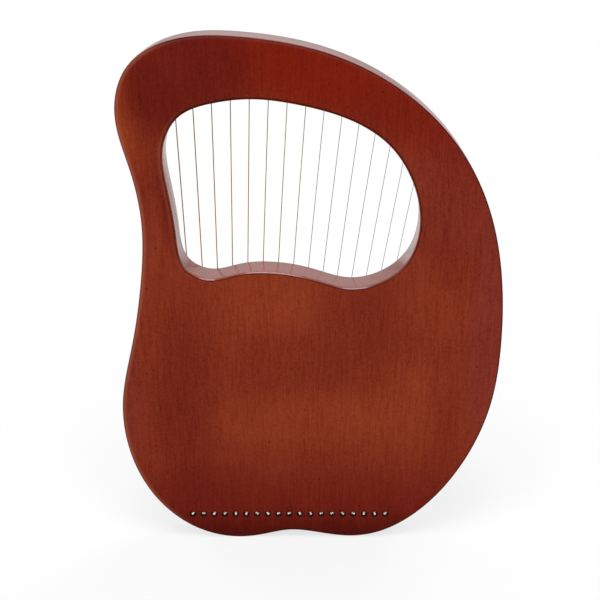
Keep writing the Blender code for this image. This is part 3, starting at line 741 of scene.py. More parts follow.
def raw_wood(name, settings, stained=False):
    """Bare sanded wood, as inside the body. On the tail block, the face behind the ball holes is painted
    dark round their row: painted shade seen through the holes.
    """
    finish = Finish(name)
    vector = finish.place()
    light = settings.raw_wood
    tone, streaks, lines, pores = wood_grain(finish, vector, 160, 12, 5.0)
    colour = finish.mix(pores * 0.35, finish.mix(tone, toned(light, 0.62), light), toned(light, 0.4))
    # Painted shade: the tail block darkened round the row of ball holes, seen through them
    if stained:
        _, y, z = finish.axes(vector)
        deep = y.step(BACK_Y + BOARD + 0.5 * MM, BACK_Y + BOARD + 5 * MM)
        ragged = z.away(HOLE_ROW_Z) + (streaks - 0.5) * (2 * MM)
        reached = (1 - ragged.step(3 * MM, 4.5 * MM)) * (1 - deep)
        colour = finish.mix(reached, colour, (0.012, 0.005, 0.004))
    normal = finish.bump(streaks + lines * 0.5 - pores, 0.3, 0.0002)
    return finish.surface(colour, 0.62 + streaks * 0.2, normal, {"Specular IOR Level": 0.3})


def oiled_grain(finish, colour, grain, darkest):
    """Streaked dark wood from its grain: its colour and its bumped normal."""
    tone, streaks, lines, pores = grain
    normal = finish.bump(streaks * 0.4 + lines * 0.3 - pores, 0.2, 0.0001)
    return finish.mix(tone, toned(colour, darkest), toned(colour, 1.9)), normal


def rosewood(settings):
    """Oiled rosewood with dark streaks along the piece."""
    finish = Finish("rosewood")
    grain = wood_grain(finish, finish.grain_place(), 420, 16, 2.0)
    colour, normal = oiled_grain(finish, settings.rosewood, grain, 0.35)
    colour = finish.mix(grain[3] * 0.6, colour, (0.008, 0.004, 0.003))
    return finish.surface(colour, 0.42 + grain[1] * 0.2, normal, {"Specular IOR Level": 0.3})


def rosette_wood(settings, width, grooves):
    """Rosewood with a pale ring over each pair of its grooves, by the distance from the hole's centre."""
    finish = Finish("rosette_wood")
    vector = finish.place()
    x, _, z = finish.axes(vector)
    x = x - SOUND_HOLE_CENTRE[0]
    z = z - SOUND_HOLE_CENTRE[1]
    share = ((x * x + z * z) ** 0.5 - SOUND_HOLE_RADIUS) / width
    grain = wood_grain(finish, vector, 380, 18, 9.0)
    colour, normal = oiled_grain(finish, settings.rosewood, grain, 0.4)
    inner, outer = (share.away(sum(pair) / 2).step(0.045, 0.055) for pair in (grooves[:2], grooves[2:]))
    colour = finish.mix(1 - inner * outer, colour, (0.55, 0.38, 0.2))
    constants = {"Coat Weight": 0.4, "Coat Roughness": 0.2}
    return finish.surface(colour, 0.36 + grain[1] * 0.2, normal, constants)


def bone(settings):
    """Polished bone: pale, with faint long pores and warmer patches."""
    finish = Finish("bone")
    vector = finish.place()
    patch = finish.noise(finish.scaled(vector, (60, 200, 200)), detail=3.0)
    pores = finish.noise(finish.scaled(vector, (350, 2200, 2200)), detail=1.0).step(0.66, 0.78)
    colour = finish.mix(patch.step(0.3, 0.7), settings.bone, toned(settings.bone, 0.93, 0.86, 0.72))
    colour = finish.mix(pores * 0.35, colour, (0.42, 0.33, 0.2))
    normal = finish.bump(1 - pores, 0.15, 0.00005)
    return finish.surface(colour, 0.3 + patch * 0.15, normal, {"Coat Weight": 0.3, "Coat Roughness": 0.1})


def metal(name, colour, rough, scale, source="Object", metallic=1.0):
    """Drawn or turned metal: fine scratches, faint cloudy tarnish and small changes of gloss."""
    finish = Finish(name)
    vector = finish.place(source)
    cloud = finish.noise(vector, 90, detail=3.0)
    scratch = finish.noise(finish.scaled(vector, scale))
    tone = finish.mix(cloud.step(0.35, 0.75) * 0.6, colour, toned(colour, 0.82, 0.76, 0.66))
    roughness = rough + (scratch - 0.5) * 0.12 + (cloud - 0.5) * 0.1
    constants = {"Metallic": metallic, "Specular IOR Level": 0.9}
    return finish.surface(tone, roughness, finish.bump(scratch, 0.08, 0.00003), constants)


def wound_wire(settings, pitch):
    """Bronze winding on a bass string: each wrap is a ridge, a cosine of the length, with painted shade in
    its groove.
    """
    finish = Finish("bronze_wound_wire")
    along = finish.axes(finish.place("UV"))[0]
    wave = (along * (2 * math.pi / pitch)).math("COSINE") * 0.5 + 0.5
    cloud = finish.noise(finish.place(), 120, detail=3.0)
    # Painted shade: the colour falls to three tenths of the bronze in the groove between wraps
    colour = finish.mix((wave**0.6).clamp(), toned(settings.bronze, 0.3), settings.bronze)
    colour = finish.mix(cloud.step(0.4, 0.8) * 0.5, colour, toned(settings.bronze, 0.6))
    constants = {"Metallic": 0.7, "Specular IOR Level": 0.1}
    return finish.surface(colour, 0.34 + cloud * 0.15, finish.bump(wave**0.5, 0.6, 0.00004), constants)


def bored_wood():
    """Dark end grain inside the drilled holes, painted nearly black as the shade inside them."""
    finish = Finish("bored_wood")
    rings = finish.noise(finish.scaled(finish.place(), (900, 300, 900)))
    # Painted shade: nearly black end grain for the shade inside the holes
    colour = finish.mix(rings, (0.006, 0.003, 0.0025), (0.03, 0.009, 0.006))
    normal = finish.bump(rings, 0.3, 0.0001)
    return finish.surface(colour, 0.5 + rings * 0.3, normal, {"Specular IOR Level": 0.15})


FINISHES = {}


def make_finishes(body, fittings, settings):
    """Makes the finishes, under the names that the pieces ask for."""
    FINISHES.update(
        boards=mahogany_boards(settings, body.roll),
        ribs=mahogany_ribs(settings),
        raw=raw_wood("raw_wood", settings),
        tail=raw_wood("tail_block_wood", settings, True),
        bore=bored_wood(),
        rosewood=rosewood(settings),
        bone=bone(settings),
        brass=metal("brass", settings.brass, 0.24, (60, 1500, 1500)),
        # Near-white and mostly not metallic: painted highlights on the ball ends
        ball=metal("ball_end_metal", settings.ball_highlight_pale, 0.26, (800, 800, 800), metallic=0.2),
        nickel=metal("nickel", settings.nickel, 0.22, (300, 3000, 300)),
        steel=metal("steel", settings.steel, 0.24, (2500, 400, 400), source="UV"),
        bronze=wound_wire(settings, fittings.winding),
    )


# Boards and ribs


def quarter(count):
    """Angles over a quarter of a turn."""
    return np.linspace(0.0, math.pi / 2, count)


def crowned(depth, height):
    """Inset of a side wall: it bulges by the height at mid-depth, as a parabola between the faces."""
    return height * (1 - 2 * depth / BODY_DEPTH) ** 2


def leaning(depth, lean):
    """Inset of the opening's wall: the lean into the opening at the back, evenly down to none in front."""
    return lean * (depth / BODY_DEPTH - 1)


def board_edge(width, drop, seam, crown=0.0, roll=0.0):
    """(inset, depth) points from a board's outer face round its edge to its glued face.

    The arris is at inset width(1 - sin^k a) and depth drop(1 - cos^k a), a quarter of a circle for k = 1
    and a broken edge with rounded sides for k = 1.75. Before a rolled arris the face falls away as a
    parabola, whose slope reaches that of the arris's start. The edge at the joint is a quarter
    circle. The flat points at either end keep the faces flat.
    """
    turn = quarter(EDGE_POINTS)
    bulge = 1.0
    if roll:
        bulge = 1.75
        turn = (1 - np.cos(np.linspace(0.2, math.pi, 13))) * math.pi / 4
    outer = np.column_stack([width * (1 - np.sin(turn) ** bulge), drop * (1 - np.cos(turn) ** bulge)])
    if roll:
        part = np.linspace(0, 1, 6)[:-1]
        fall = math.tan(ROLL_SLOPE) * roll / 2
        outer[:, 1] += fall - outer[0, 1]
        outer = np.vstack([np.column_stack([outer[0, 0] + roll * (1 - part), fall * part**2]), outer])
    turn = quarter(4)
    inner = np.column_stack([seam * (1 - np.cos(turn)), BOARD - seam * (1 - np.sin(turn))])
    straight = [(0.0, outer[-1, 1] + 0.2 * MM), (0.0, BOARD - seam - 0.2 * MM)]
    edge = np.vstack([[(outer[0, 0] + MM, 0.0)], outer, straight, inner, [(seam + MM, BOARD)]])
    edge[:, 0] += crowned(edge[:, 1], crown)
    return edge


# Points over a plain rounded edge, and the finishes of a board's mesh, by their places in its list
EDGE_POINTS = 9
OUTSIDE, INSIDE, BORE = range(3)


def wall(loop, into_wood, profile, face, towards):
    """A profile carried round a loop: each point moves into the wood by the inset, and along the depth."""
    flat = loop[None] + into_wood[None] * profile[:, 0, None, None]
    return in_space(flat, face + towards * profile[:, 1, None])


def wall_places(loop, profile):
    """Pattern places of a wall: metres round the loop, and metres down the profile from where it turns."""
    down = lengths(profile) - lengths(profile)[1]
    return np.stack(np.broadcast_arrays(lengths(loop)[None], down[:, None]), axis=-1)


def make_board(name, face, towards, holes, finishes, settings):
    """A flat board between the outline and the opening, with rounded outer edges and drilled holes.

    Each side is a wall round a loop, and the faces fill the space between the walls' first rings, and
    between their last ones.
    """
    outline, inward = evenly(OUTLINE, settings.spacing)
    opening, inside = evenly(OPENING, settings.spacing)
    shared = (settings.seam, settings.crown, settings.roll)
    rim = board_edge(settings.outer_edge, settings.outer_edge, *shared)
    edge = board_edge(settings.opening_edge_width, settings.opening_edge_depth, *shared)
    edge[:, 0] += leaning(face + towards * edge[:, 1], settings.lean)
    lip = board_edge(settings.lip, settings.lip, settings.seam)
    sides = [(outline, inward, rim), (opening, -inside, edge)]
    sides += [(*circle(centre, radius, count), lip) for centre, radius, count in holes]
    shape = Shape()
    walls = []
    numbers = []
    for loop, into_wood, profile in sides:
        rings = wall(loop, into_wood, profile, face, towards)
        walls.append(rings)
        numbers.append(shape.count + np.arange(rings.size // 3).reshape(rings.shape[:2]))
        past_edge = np.arange(len(profile) - 1) >= EDGE_POINTS
        finish = np.where(past_edge, BORE, OUTSIDE) if profile is lip else OUTSIDE
        shape.grid(rings, place=wall_places(loop, profile), finish=finish)
    for row, finish in ((0, OUTSIDE), (-1, INSIDE)):
        loops = [rings[row][:, [0, 2]] for rings in walls]
        index = np.concatenate([rows[row] for rows in numbers])
        faces = index[np.array(fill(loops))].tolist()
        shape.cover(faces, [finish] * len(faces))
    return shape.mesh(name, finishes)


def rib_mesh(name, loop, into_wood, settings, lean=0.0):
    """A bent strip of rectangular section carried along a closed line, whose ends meet at a butt joint.

    Its outer side bulges by the crown and leans, and the glue's width is left free at each joint.
    """
    low = BOARD + settings.glue
    high = BODY_DEPTH - BOARD - settings.glue
    seam = settings.seam
    turn = quarter(4)
    start = np.column_stack([seam * (1 - np.sin(turn)), low + seam * (1 - np.cos(turn))])
    end = np.column_stack([seam * (1 - np.cos(turn)), high - seam * (1 - np.sin(turn))])
    depth = np.linspace(low + 0.5 * MM, high - 0.5 * MM, 9)
    outside = np.vstack([start, np.column_stack([np.zeros(9), depth]), end])
    outside[:, 0] += crowned(outside[:, 1], settings.crown) + leaning(outside[:, 1], lean)
    section = np.vstack([outside, [[RIB, high], [RIB, low]]])
    ring = np.vstack([loop, loop[:1]])
    side = np.vstack([into_wood, into_wood[:1]])
    gap = (ring[1] - ring[0]) / np.linalg.norm(ring[1] - ring[0]) * settings.glue
    ring[0] += gap / 2
    ring[-1] -= gap / 2
    flat = ring[:, None] + side[:, None] * section[None, :, :1]
    rings = in_space(flat, section[None, :, 1])
    along = np.broadcast_to(lengths(ring)[:, None], rings.shape[:2])
    across = np.broadcast_to((section[:, 1] + section[:, 0])[None], rings.shape[:2])
    return solid(name, rings, FINISHES["ribs"], np.stack([along, across], axis=-1), caps=True)


class HARP_OT_boards(bpy.types.Operator):
    """Builds the back board with its ball holes and the soundboard with its sound hole and pin holes"""

    bl_idname = "harp.boards"
    bl_label = "Back and soundboard"

    def execute(self, context):
        settings = context.scene.harp_body
        finishes = [FINISHES["boards"], FINISHES["raw"], FINISHES["bore"]]
        row = [(hole_x(number), HOLE_ROW_Z) for number in NUMBERS]
        back_holes = [(centre, BALL_HOLE_RADIUS, 40) for centre in row]
        back = make_board("back_board", 0.0, 1, back_holes, finishes, settings)
        piece("back_board", back, "root", "mahogany_body", "back_plate")
        front_holes = [(centre, WIRE_HOLE_RADIUS, 24) for centre in row]
        front_holes += [(pin_place(number), PIN_RADIUS + PIN_HOLE_CLEARANCE, 40) for number in NUMBERS]
        front_holes.append((SOUND_HOLE_CENTRE, SOUND_HOLE_RADIUS, 160))
        front = make_board("front_board", BODY_DEPTH, -1, front_holes, finishes, settings)
        piece("front_board", front, "root", "mahogany_body", "soundboard")
        return {"FINISHED"}


class HARP_OT_ribs(bpy.types.Operator):
    """Builds the bent strips that form the outer side and line the opening"""

    bl_idname = "harp.ribs"
    bl_label = "Ribs"

    def execute(self, context):
        settings = context.scene.harp_body
        outline, inward = evenly(OUTLINE, settings.spacing)
        side = rib_mesh("side_rib", outline, inward, settings)
        piece("side_rib", side, "root", "mahogany_body", "outer_rib")
        opening, inside = evenly(OPENING, settings.spacing)
        lining = rib_mesh("opening_rib", opening, -inside, settings, settings.lean)
        piece("opening_rib", lining, "root", "mahogany_body", "inner_rib")
        return {"FINISHED"}


def hole_x(number):
    """Place along the row of a string's hole: the row's centre and so many pitches from it."""
    return HOLE_ROW_CENTRE + (number - (STRING_COUNT + 1) / 2) * HOLE_PITCH


def pin_name(number):
    """The body and node of a tuning pin."""
    return "tuning_pin_%02d" % number


def pin_place(number):
    """The (x, z) of a tuning pin's axis."""
    place = PIN_PLACES[pin_name(number)]
    return np.array([place.x, place.z])


# Fittings


UP = (0, 0, 1)
FORWARD = (0, 1, 0)


def swept_bar(section, path, side, up):
    """A section carried along a path: a section point (s, h) lands at path + s * side + h * up."""
    return path[:, None] + side[:, None] * section[None, :, :1] + up[:, None] * section[None, :, 1:]


def level_bar(section, x, z):
    """A section carried along x at a height z, its s upwards and its h a depth. Returns rings and path."""
    path = np.column_stack([x, np.full(len(x), BACK_Y), np.full(len(x), z)])
    return swept_bar(section, path, each(UP, path), each(FORWARD, path)), path


def add_bevel(obj, width, segments=3, angle=30):
    """Rounds the edges that are sharper than an angle in degrees."""
    bevel = obj.modifiers.new("edges", "BEVEL")
    bevel.width = width
    bevel.segments = segments
    bevel.limit_method = "ANGLE"
    bevel.angle_limit = math.radians(angle)
    bevel.use_clamp_overlap = True


def bar_places(rings, path):
    """Pattern places of a bar: metres along it, and metres round its section."""
    places = np.broadcast_arrays(lengths(path)[:, None], lengths(rings[0])[None])
    return np.stack(places, axis=-1)


class HARP_OT_bridge(bpy.types.Operator):
    """Builds the bridge and the saddle that stands in its slot"""

    bl_idname = "harp.bridge"
    bl_label = "Bridge and saddle"

    def execute(self, context):
        contact = context.scene.harp_fittings.contact
        low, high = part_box("bridge")
        foot = BODY_DEPTH + contact
        top = high.y - BACK_Y
        slot_low, slot_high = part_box("saddle")
        slot = (slot_high.z - slot_low.z) / 2 + 3 * contact
        bottom = slot_low.y - BACK_Y - 6 * contact
        half = (high.z - low.z) / 2
        flank = [(half, foot), (half * 0.86, foot + 1.6 * MM), (half / 2, top)]
        section = np.array(flank + [(slot, top), (slot, bottom)])
        section = np.vstack([section, section[::-1] * (-1, 1)])
        rings, path = level_bar(section, np.array([low.x, high.x]), (low.z + high.z) / 2)
        mesh = solid("bridge_bar", rings, FINISHES["rosewood"], bar_places(rings, path), caps=True)
        add_bevel(piece("bridge_bar", mesh, "root", "rosewood_fittings", "bridge"), 0.5 * MM)
        self.make_saddle(slot_low, slot_high, contact)
        return {"FINISHED"}

    def make_saddle(self, low, high, contact):
        """The top is a half circle, lowered under each string by a groove that is a bell curve of x."""
        side = (high.z - low.z) / 2
        top = support_depth(0.0) - contact
        base = low.y - BACK_Y - 4 * contact
        turn = np.linspace(0, math.pi, 13)
        crown = np.column_stack([side * np.cos(turn), top - side * (1 - np.sin(turn))])
        section = np.vstack([[(side, base)], crown, [(-side, base)]])
        crossings = np.array([saddle_place(number)[0] for number in NUMBERS])
        near = (crossings[:, None] + np.linspace(-0.9, 0.9, 13)[None] * MM).ravel()
        steps = quarter(5) / 2 * MM
        x = np.concatenate([low.x + steps, near, high.x - steps[::-1]])
        groove = np.exp(-(((x[:, None] - crossings[None]) / (0.4 * MM)) ** 2)).sum(axis=1) * 0.16 * MM
        rings, _ = level_bar(section, x, (low.z + high.z) / 2)
        on_top = np.exp(-((section[:, 0] / side) ** 2) * 1.2) * (section[:, 1] > top - side)
        rings[:, :, 1] -= groove[:, None] * on_top[None]
        mesh = solid("saddle_bar", rings, FINISHES["bone"], caps=True)
        add_bevel(piece("saddle_bar", mesh, "root", "bone_saddle", "saddle"), 0.25 * MM, 2, 50)


class HARP_OT_nut(bpy.types.Operator):
    """Builds the curved nut and the brass rod in its groove"""

    bl_idname = "harp.nut"
    bl_label = "Nut and rod"

    def execute(self, context):
        contact = context.scene.harp_fittings.contact
        side = 4 * MM
        foot = BODY_DEPTH + contact
        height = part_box("nut")[1].y - BACK_Y
        groove = NUT_ROD_RADIUS + 0.1 * MM
        rod_depth = support_depth(0.0) - NUT_ROD_RADIUS - contact
        turn = quarter(6)
        scoop = np.column_stack([groove * np.cos(turn), rod_depth - groove * np.sin(turn)])
        flank = [(side, foot), (side, height - 1.6 * MM), (side - 1.3 * MM, height), (groove, height)]
        section = np.vstack([flank, scoop])
        section = np.vstack([section, section[-2::-1] * (-1, 1)])
        start = FIRST_PIN_ALONG - NUT_END
        stop = FIRST_PIN_ALONG + (STRING_COUNT - 1) * PIN_PITCH + NUT_TREBLE_END
        path = in_space(nut_line(np.linspace(start, stop, 180)), 0.0)
        up = each(FORWARD, path)
        rings = swept_bar(section, path, np.cross(up, directions(path)), up)
        mesh = solid("nut_bar", rings, FINISHES["rosewood"], bar_places(rings, path), caps=True)
        add_bevel(piece("nut_bar", mesh, "root", "rosewood_fittings", "nut"), 0.35 * MM, 3, 25)
        self.make_rod(start + contact, stop - contact, rod_depth)
        return {"FINISHED"}

    def make_rod(self, start, stop, depth):
        """A round rod whose ends are rounded: there its radius falls to half as the root of a parabola."""
        path = in_space(nut_line(np.linspace(start, stop, 200)), depth)
        far = lengths(path)
        left = np.minimum(far, far[-1] - far) / NUT_ROD_RADIUS
        radius = NUT_ROD_RADIUS * np.sqrt(1 - (1 - np.clip(left * 2, 0, 1)) ** 2 * 0.75)
        rings = tube(path, radius, each(FORWARD, path), 20)
        mesh = solid("rod", rings, FINISHES["brass"], caps=True)
        piece("rod", mesh, "root", "brass_rod", "nut_rod")


class HARP_OT_rosette(bpy.types.Operator):
    """Builds the turned ring round the sound hole, whose four fine grooves are bell curves of its width"""

    bl_idname = "harp.rosette"
    bl_label = "Rosette"

    def execute(self, context):
        low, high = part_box("rosette")
        width = (high.x - low.x) / 2 - SOUND_HOLE_RADIUS
        foot = BODY_DEPTH + context.scene.harp_fittings.contact
        top = high.y - BACK_Y
        edge = 0.45 * MM
        turn = quarter(5)
        rise = np.column_stack([edge * (1 - np.cos(turn)), top - edge * (1 - np.sin(turn))])
        across = np.linspace(edge, width - edge, 60)[1:-1]
        grooves = [0.22, 0.34, 0.66, 0.78]
        sunk = sum(np.exp(-(((across / width - place) / 0.018) ** 2)) for place in grooves) * 0.14 * MM
        face = np.column_stack([across, top - sunk])
        section = np.vstack([[(0, foot)], rise, face, rise[::-1] * (-1, 1) + (width, 0), [(width, foot)]])
        ring, away = circle(SOUND_HOLE_CENTRE, SOUND_HOLE_RADIUS, 180)
        flat = ring[:, None] + away[:, None] * section[None, :, :1]
        rings = in_space(flat, section[None, :, 1])
        finish = rosette_wood(context.scene.harp_finish, width, grooves)
        mesh = solid("sound_hole_ring", rings, finish, along=True)
        piece("sound_hole_ring", mesh, "root", "rosewood_fittings", "rosette")
        return {"FINISHED"}


# Strings


def directions(path):
    """Unit directions along a path, each the mean of its two neighbouring steps' directions."""
    step = np.diff(path, axis=0)
    step /= np.linalg.norm(step, axis=1)[:, None]
    ahead = np.vstack([step[:1], step[:-1] + step[1:], step[-1:]])
    return ahead / np.linalg.norm(ahead, axis=1)[:, None]


def tube(path, radius, guide, sides):
    """Rings of a round tube: path + radius * (cos a * u + sin a * v).

    Here u is the guide squared up to the path, and v is square to both.
    """
    ahead = directions(path)
    u = guide - (guide * ahead).sum(axis=1)[:, None] * ahead
    u /= np.linalg.norm(u, axis=1)[:, None]
    v = np.cross(ahead, u)
    cosine, sine = spokes(sides).T[:, None, :, None]
    outward = cosine * u[:, None] + sine * v[:, None]
    return path[:, None] + np.broadcast_to(radius, len(path))[:, None, None] * outward


def bent(corners, cuts, count=7):
    """A line through corners, each rounded by a parabola that starts and ends its cut's length from it."""
    corners = np.array(corners, float)
    share = np.linspace(0, 1, count)[:, None]
    parts = [corners[:1]]
    for k, cut in enumerate(cuts, start=1):
        before = corners[k - 1] - corners[k]
        after = corners[k + 1] - corners[k]
        start = corners[k] + before / np.linalg.norm(before) * cut
        end = corners[k] + after / np.linalg.norm(after) * cut
        parts.append(start * (1 - share) ** 2 + corners[k] * 2 * share * (1 - share) + end * share**2)
    parts.append(corners[-1:])
    return np.vstack(parts)


def wire_radius(number):
    """Half of a string's thickness: even steps within the bass strings and within the treble ones."""
    bass = number <= BASS_COUNT
    first, last = BASS_WIRES if bass else TREBLE_WIRES
    share = (number - 1) / (BASS_COUNT - 1)
    if not bass:
        share = (number - BASS_COUNT - 1) / (STRING_COUNT - BASS_COUNT - 1)
    return (first + (last - first) * share) / 2


def wire_piece(name, number, body, path, radius, guide, sides, *replaced, loop=None):
    """A round wire along a path, with its string's metal: wound bronze in the bass, plain steel above."""
    finish, slot = "steel", "plain_steel_wire"
    if number <= BASS_COUNT:
        finish, slot = "bronze", "bronze_wound_wire"
    rings = tube(path, radius, guide, sides)
    along = np.broadcast_to(lengths(path)[:, None], rings.shape[:2])
    shape = Shape()
    shape.grid(rings, caps=True, place=np.stack([along, np.zeros_like(along)], axis=-1))
    if loop is not None:
        shape.grid(loop, along=True)
    piece(name, shape.mesh(name, [FINISHES[finish]]), body, slot, *replaced)


def saddle_place(number):
    """The (x, z) where a string crosses the saddle, whose crossings stand a little apart from the holes."""
    low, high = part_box("saddle")
    x = HOLE_ROW_CENTRE + SADDLE_SHIFT + (number - (STRING_COUNT + 1) / 2) * SADDLE_PITCH
    return np.array([x, (low.z + high.z) / 2])


def support_depth(wire):
    """Depth of a string's centre where it rests on the saddle and on the rod."""
    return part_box("nut_rod")[1].y - BACK_Y + ROD_LIFT + wire


def string_line(number, contact):
    """The string's centre line from its ball end to its pin's cross hole, with a guide direction.

    It runs up through the tail block, bends over the saddle and over the rod, meets its pin on the +X
    side and winds down it: round the pin at the wire's distance while the depth falls evenly, after
    an ease that takes up the slant of the stretch before it. It winds as many half turns as there is
    room for. The last value is the angle at which it reaches the cross hole.
    """
    wire = wire_radius(number)
    saddle = saddle_place(number)
    centre = pin_place(number)
    coil = PIN_RADIUS + contact + wire
    away = centre - saddle
    distance = np.linalg.norm(away)
    lean = math.atan2(away[0], away[1]) + math.asin(coil / distance)
    run = math.sqrt(distance**2 - coil**2)
    heading = np.array([math.sin(lean), math.cos(lean)])
    along = FIRST_PIN_ALONG + (number - 1) * PIN_PITCH + np.linspace(-PIN_PITCH, NUT_TREBLE_END, 1200)
    line = nut_line(along) - saddle
    aside = np.abs(line[:, 0] * heading[1] - line[:, 1] * heading[0])
    crest = (line[aside.argmin()] * heading).sum()
    support = support_depth(wire)
    ease = 1.6 * MM
    lowered = COIL_DROP / (run - crest) * ease
    room = support - COIL_DROP - lowered - CROSS_HOLE_DEPTH
    least_pitch = 2 * wire * 1.04
    first_turn = (hole_angle(number) + lean) % math.pi
    half_turns = math.floor((room / least_pitch * 2 * math.pi - first_turn) / math.pi)
    turning = first_turn + half_turns * math.pi
    gone = np.linspace(0, turning, int(turning * COIL_STEPS / (2 * math.pi)))
    angle = gone - lean
    depth = support - COIL_DROP - room * gone / turning - lowered * (1 - np.exp(-gone * coil / ease))
    flat = centre + coil * np.column_stack([np.cos(angle), np.sin(angle)])
    x = hole_x(number)
    corners = [
        (x, BOARD + 0.4 * MM, HOLE_ROW_Z),
        (x, BODY_DEPTH + wire, HOLE_ROW_Z),
        (saddle[0], support, saddle[1]),
        (saddle[0] + heading[0] * crest, support, saddle[1] + heading[1] * crest),
        (flat[0, 0], support - COIL_DROP, flat[0, 1]),
    ]
    straight = bent([(a, BACK_Y + b, c) for a, b, c in corners], [1.2 * MM, 1.3 * MM, 0.5 * MM])
    guide = np.tile((heading[1], 0.0, -heading[0]), (len(straight), 1))
    outward = np.column_stack([np.cos(angle), np.zeros(len(angle)), np.sin(angle)])
    path = np.vstack([straight[:-1], in_space(flat, depth)])
    return path, np.vstack([guide[:-1], outward]), angle[-1]


# Radius of the wire loop's wire, and of the ball's waist as a share of the ball's
LOOP_WIRE = 0.2 * MM
WAIST = 0.37


def ball_shape(centre, turn, settings):
    """A ball end: a short barrel that lies across its hole, waisted for the loop of wire round its middle.

    The barrel is turned about its axis into two round lobes: at a share u of the way from its middle
    to its end its radius is R(0.35 + 0.65 sin(pi u)^0.7), and its ends are rounded off.
    """
    share = np.sin(np.linspace(-math.pi / 2, math.pi / 2, 41))
    lobes = 0.35 + 0.65 * np.sin(math.pi * np.abs(share)) ** 0.7
    radius = settings.ball_radius * lobes * np.sqrt(1 - np.clip(np.abs(share) * 5 - 4, 0, 1) ** 2 * 0.7)
    direction = np.array([math.cos(turn), 0.0, math.sin(turn)])
    path = centre + direction * share[:, None] * settings.ball_length / 2
    ball = tube(path, radius, each(FORWARD, path), 28)
    loop_radius = settings.ball_radius * WAIST + LOOP_WIRE
    outward = spokes(28) @ np.array([FORWARD, np.cross(direction, FORWARD)])
    cosine, sine = spokes(10).T[:, None, :, None]
    section = cosine * outward[:, None] + sine * direction
    return ball, (centre + loop_radius * outward)[:, None] + LOOP_WIRE * section


class HARP_OT_strings(bpy.types.Operator):
    """Builds the nineteen strings with their ball ends, from the back to the coils on the pins"""

    bl_idname = "harp.strings"
    bl_label = "Strings"

    def execute(self, context):
        settings = context.scene.harp_fittings
        for number in NUMBERS:
            path, guide, _ = string_line(number, settings.contact)
            centre = np.array([hole_x(number), BACK_Y + BOARD - settings.ball_radius, HOLE_ROW_Z])
            ball, loop = ball_shape(centre, ball_turn(number), settings)
            sides = 12 if number <= BASS_COUNT else 8
            line = (path, wire_radius(number), guide, sides)
            wire_piece("wire_%02d" % number, number, "root", *line, "string_%02d" % number, loop=loop)
            name = "ball_end_%02d" % number
            mesh = solid(name, ball, FINISHES["ball"], caps=True)
            piece(name, mesh, "root", "nickelled_pins")
        return {"FINISHED"}


def ball_turn(number):
    """The ball ends lie every way, as they happened to turn when the strings were threaded."""
    return math.radians(number * number * 47 % 180)


# Tuning pins


def hole_angle(number):
    """Direction of a pin's cross hole, seen from the front: it follows the pin's square head."""
    return -math.radians(number * HEAD_TURN)


def pin_mesh(settings):
    """A tuning pin along +Y with its foot at the origin, before its cross hole is bored.

    Its radius at height h and angle a is r / (|cos a|^p + |sin a|^p)^(1/p), with p = 2 on the round
    shank and p = 9 on the square head, less a fine thread that follows h / pitch - a / 2 pi.
    """
    length = PIN_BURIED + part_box(pin_name(1))[1].y - FRONT_HIGH.y
    rounded = 0.55 * MM
    shoulder = length - PIN_HEAD
    thread_end = PIN_BURIED - 4 * MM
    threaded = np.linspace(1.2 * MM, thread_end, int(thread_end / settings.thread * 5))
    low = [0.0, 0.15 * MM, 0.5 * MM, 1.0 * MM]
    plain = np.linspace(thread_end + 0.3 * MM, shoulder - 1.0 * MM, 14)
    rise = np.linspace(shoulder - 0.9 * MM, shoulder + 1.2 * MM, 12)
    head = np.linspace(shoulder + 2 * MM, length - 0.7 * MM, 7)
    tip = length - rounded * (1 - np.sin(quarter(5)))
    height = np.concatenate([low, threaded, plain, rise, head, tip])
    into_head = np.clip((height - rise[0]) / (rise[-1] - rise[0]), 0, 1)
    soft = into_head**2 * (3 - 2 * into_head)
    power = 2 + 7 * soft
    corner = PIN_RADIUS - 0.1 * MM - 0.5 * MM * np.clip((height - shoulder) / PIN_HEAD, 0, 1)
    half = corner / np.sqrt(2) * 1.055
    radius = PIN_RADIUS + (half - PIN_RADIUS) * soft
    radius -= 0.5 * MM * np.clip(1 - height / (0.5 * MM), 0, 1)
    topping = np.clip((height - (length - rounded)) / rounded, 0, 1)
    radius *= 1 - 0.28 * (1 - np.sqrt(1 - topping**2 * 0.99))
    sides = 40
    cosine, sine = spokes(sides).T[:, None]
    p = power[:, None]
    out = radius[:, None] / (np.abs(cosine) ** p + np.abs(sine) ** p) ** (1 / p)
    depth = 0.13 * MM * np.clip((height - MM) / MM, 0, 1) * np.clip((thread_end - height) / MM, 0, 1)
    turned = height[:, None] / settings.thread - np.arange(sides) / sides
    out -= depth[:, None] * np.abs((turned % 1) * 2 - 1)
    x = out * cosine
    z = -out * sine
    y = np.broadcast_to(height[:, None], x.shape)
    return solid("tuning_pin", np.stack([x, y, z], axis=-1), FINISHES["nickel"], caps=True)


def bored(mesh, radius, depth):
    """The mesh with a round hole through it along x, at a depth along y."""
    blank = linked("bored", mesh)
    drill = Shape()
    path = np.array([(-6 * MM, depth, 0), (6 * MM, depth, 0)])
    drill.grid(tube(path, radius, each(FORWARD, path), 24), caps=True)
    cutter = linked("bore", drill.mesh("bore", []))
    cut = blank.modifiers.new("bore", "BOOLEAN")
    cut.object = cutter
    bpy.context.view_layer.update()
    result = bpy.data.meshes.new_from_object(blank.evaluated_get(bpy.context.evaluated_depsgraph_get()))
    bpy.data.objects.remove(blank)
    bpy.data.objects.remove(cutter)
    result.shade_smooth()
    result.set_sharp_from_angle(angle=math.radians(40))
    return result


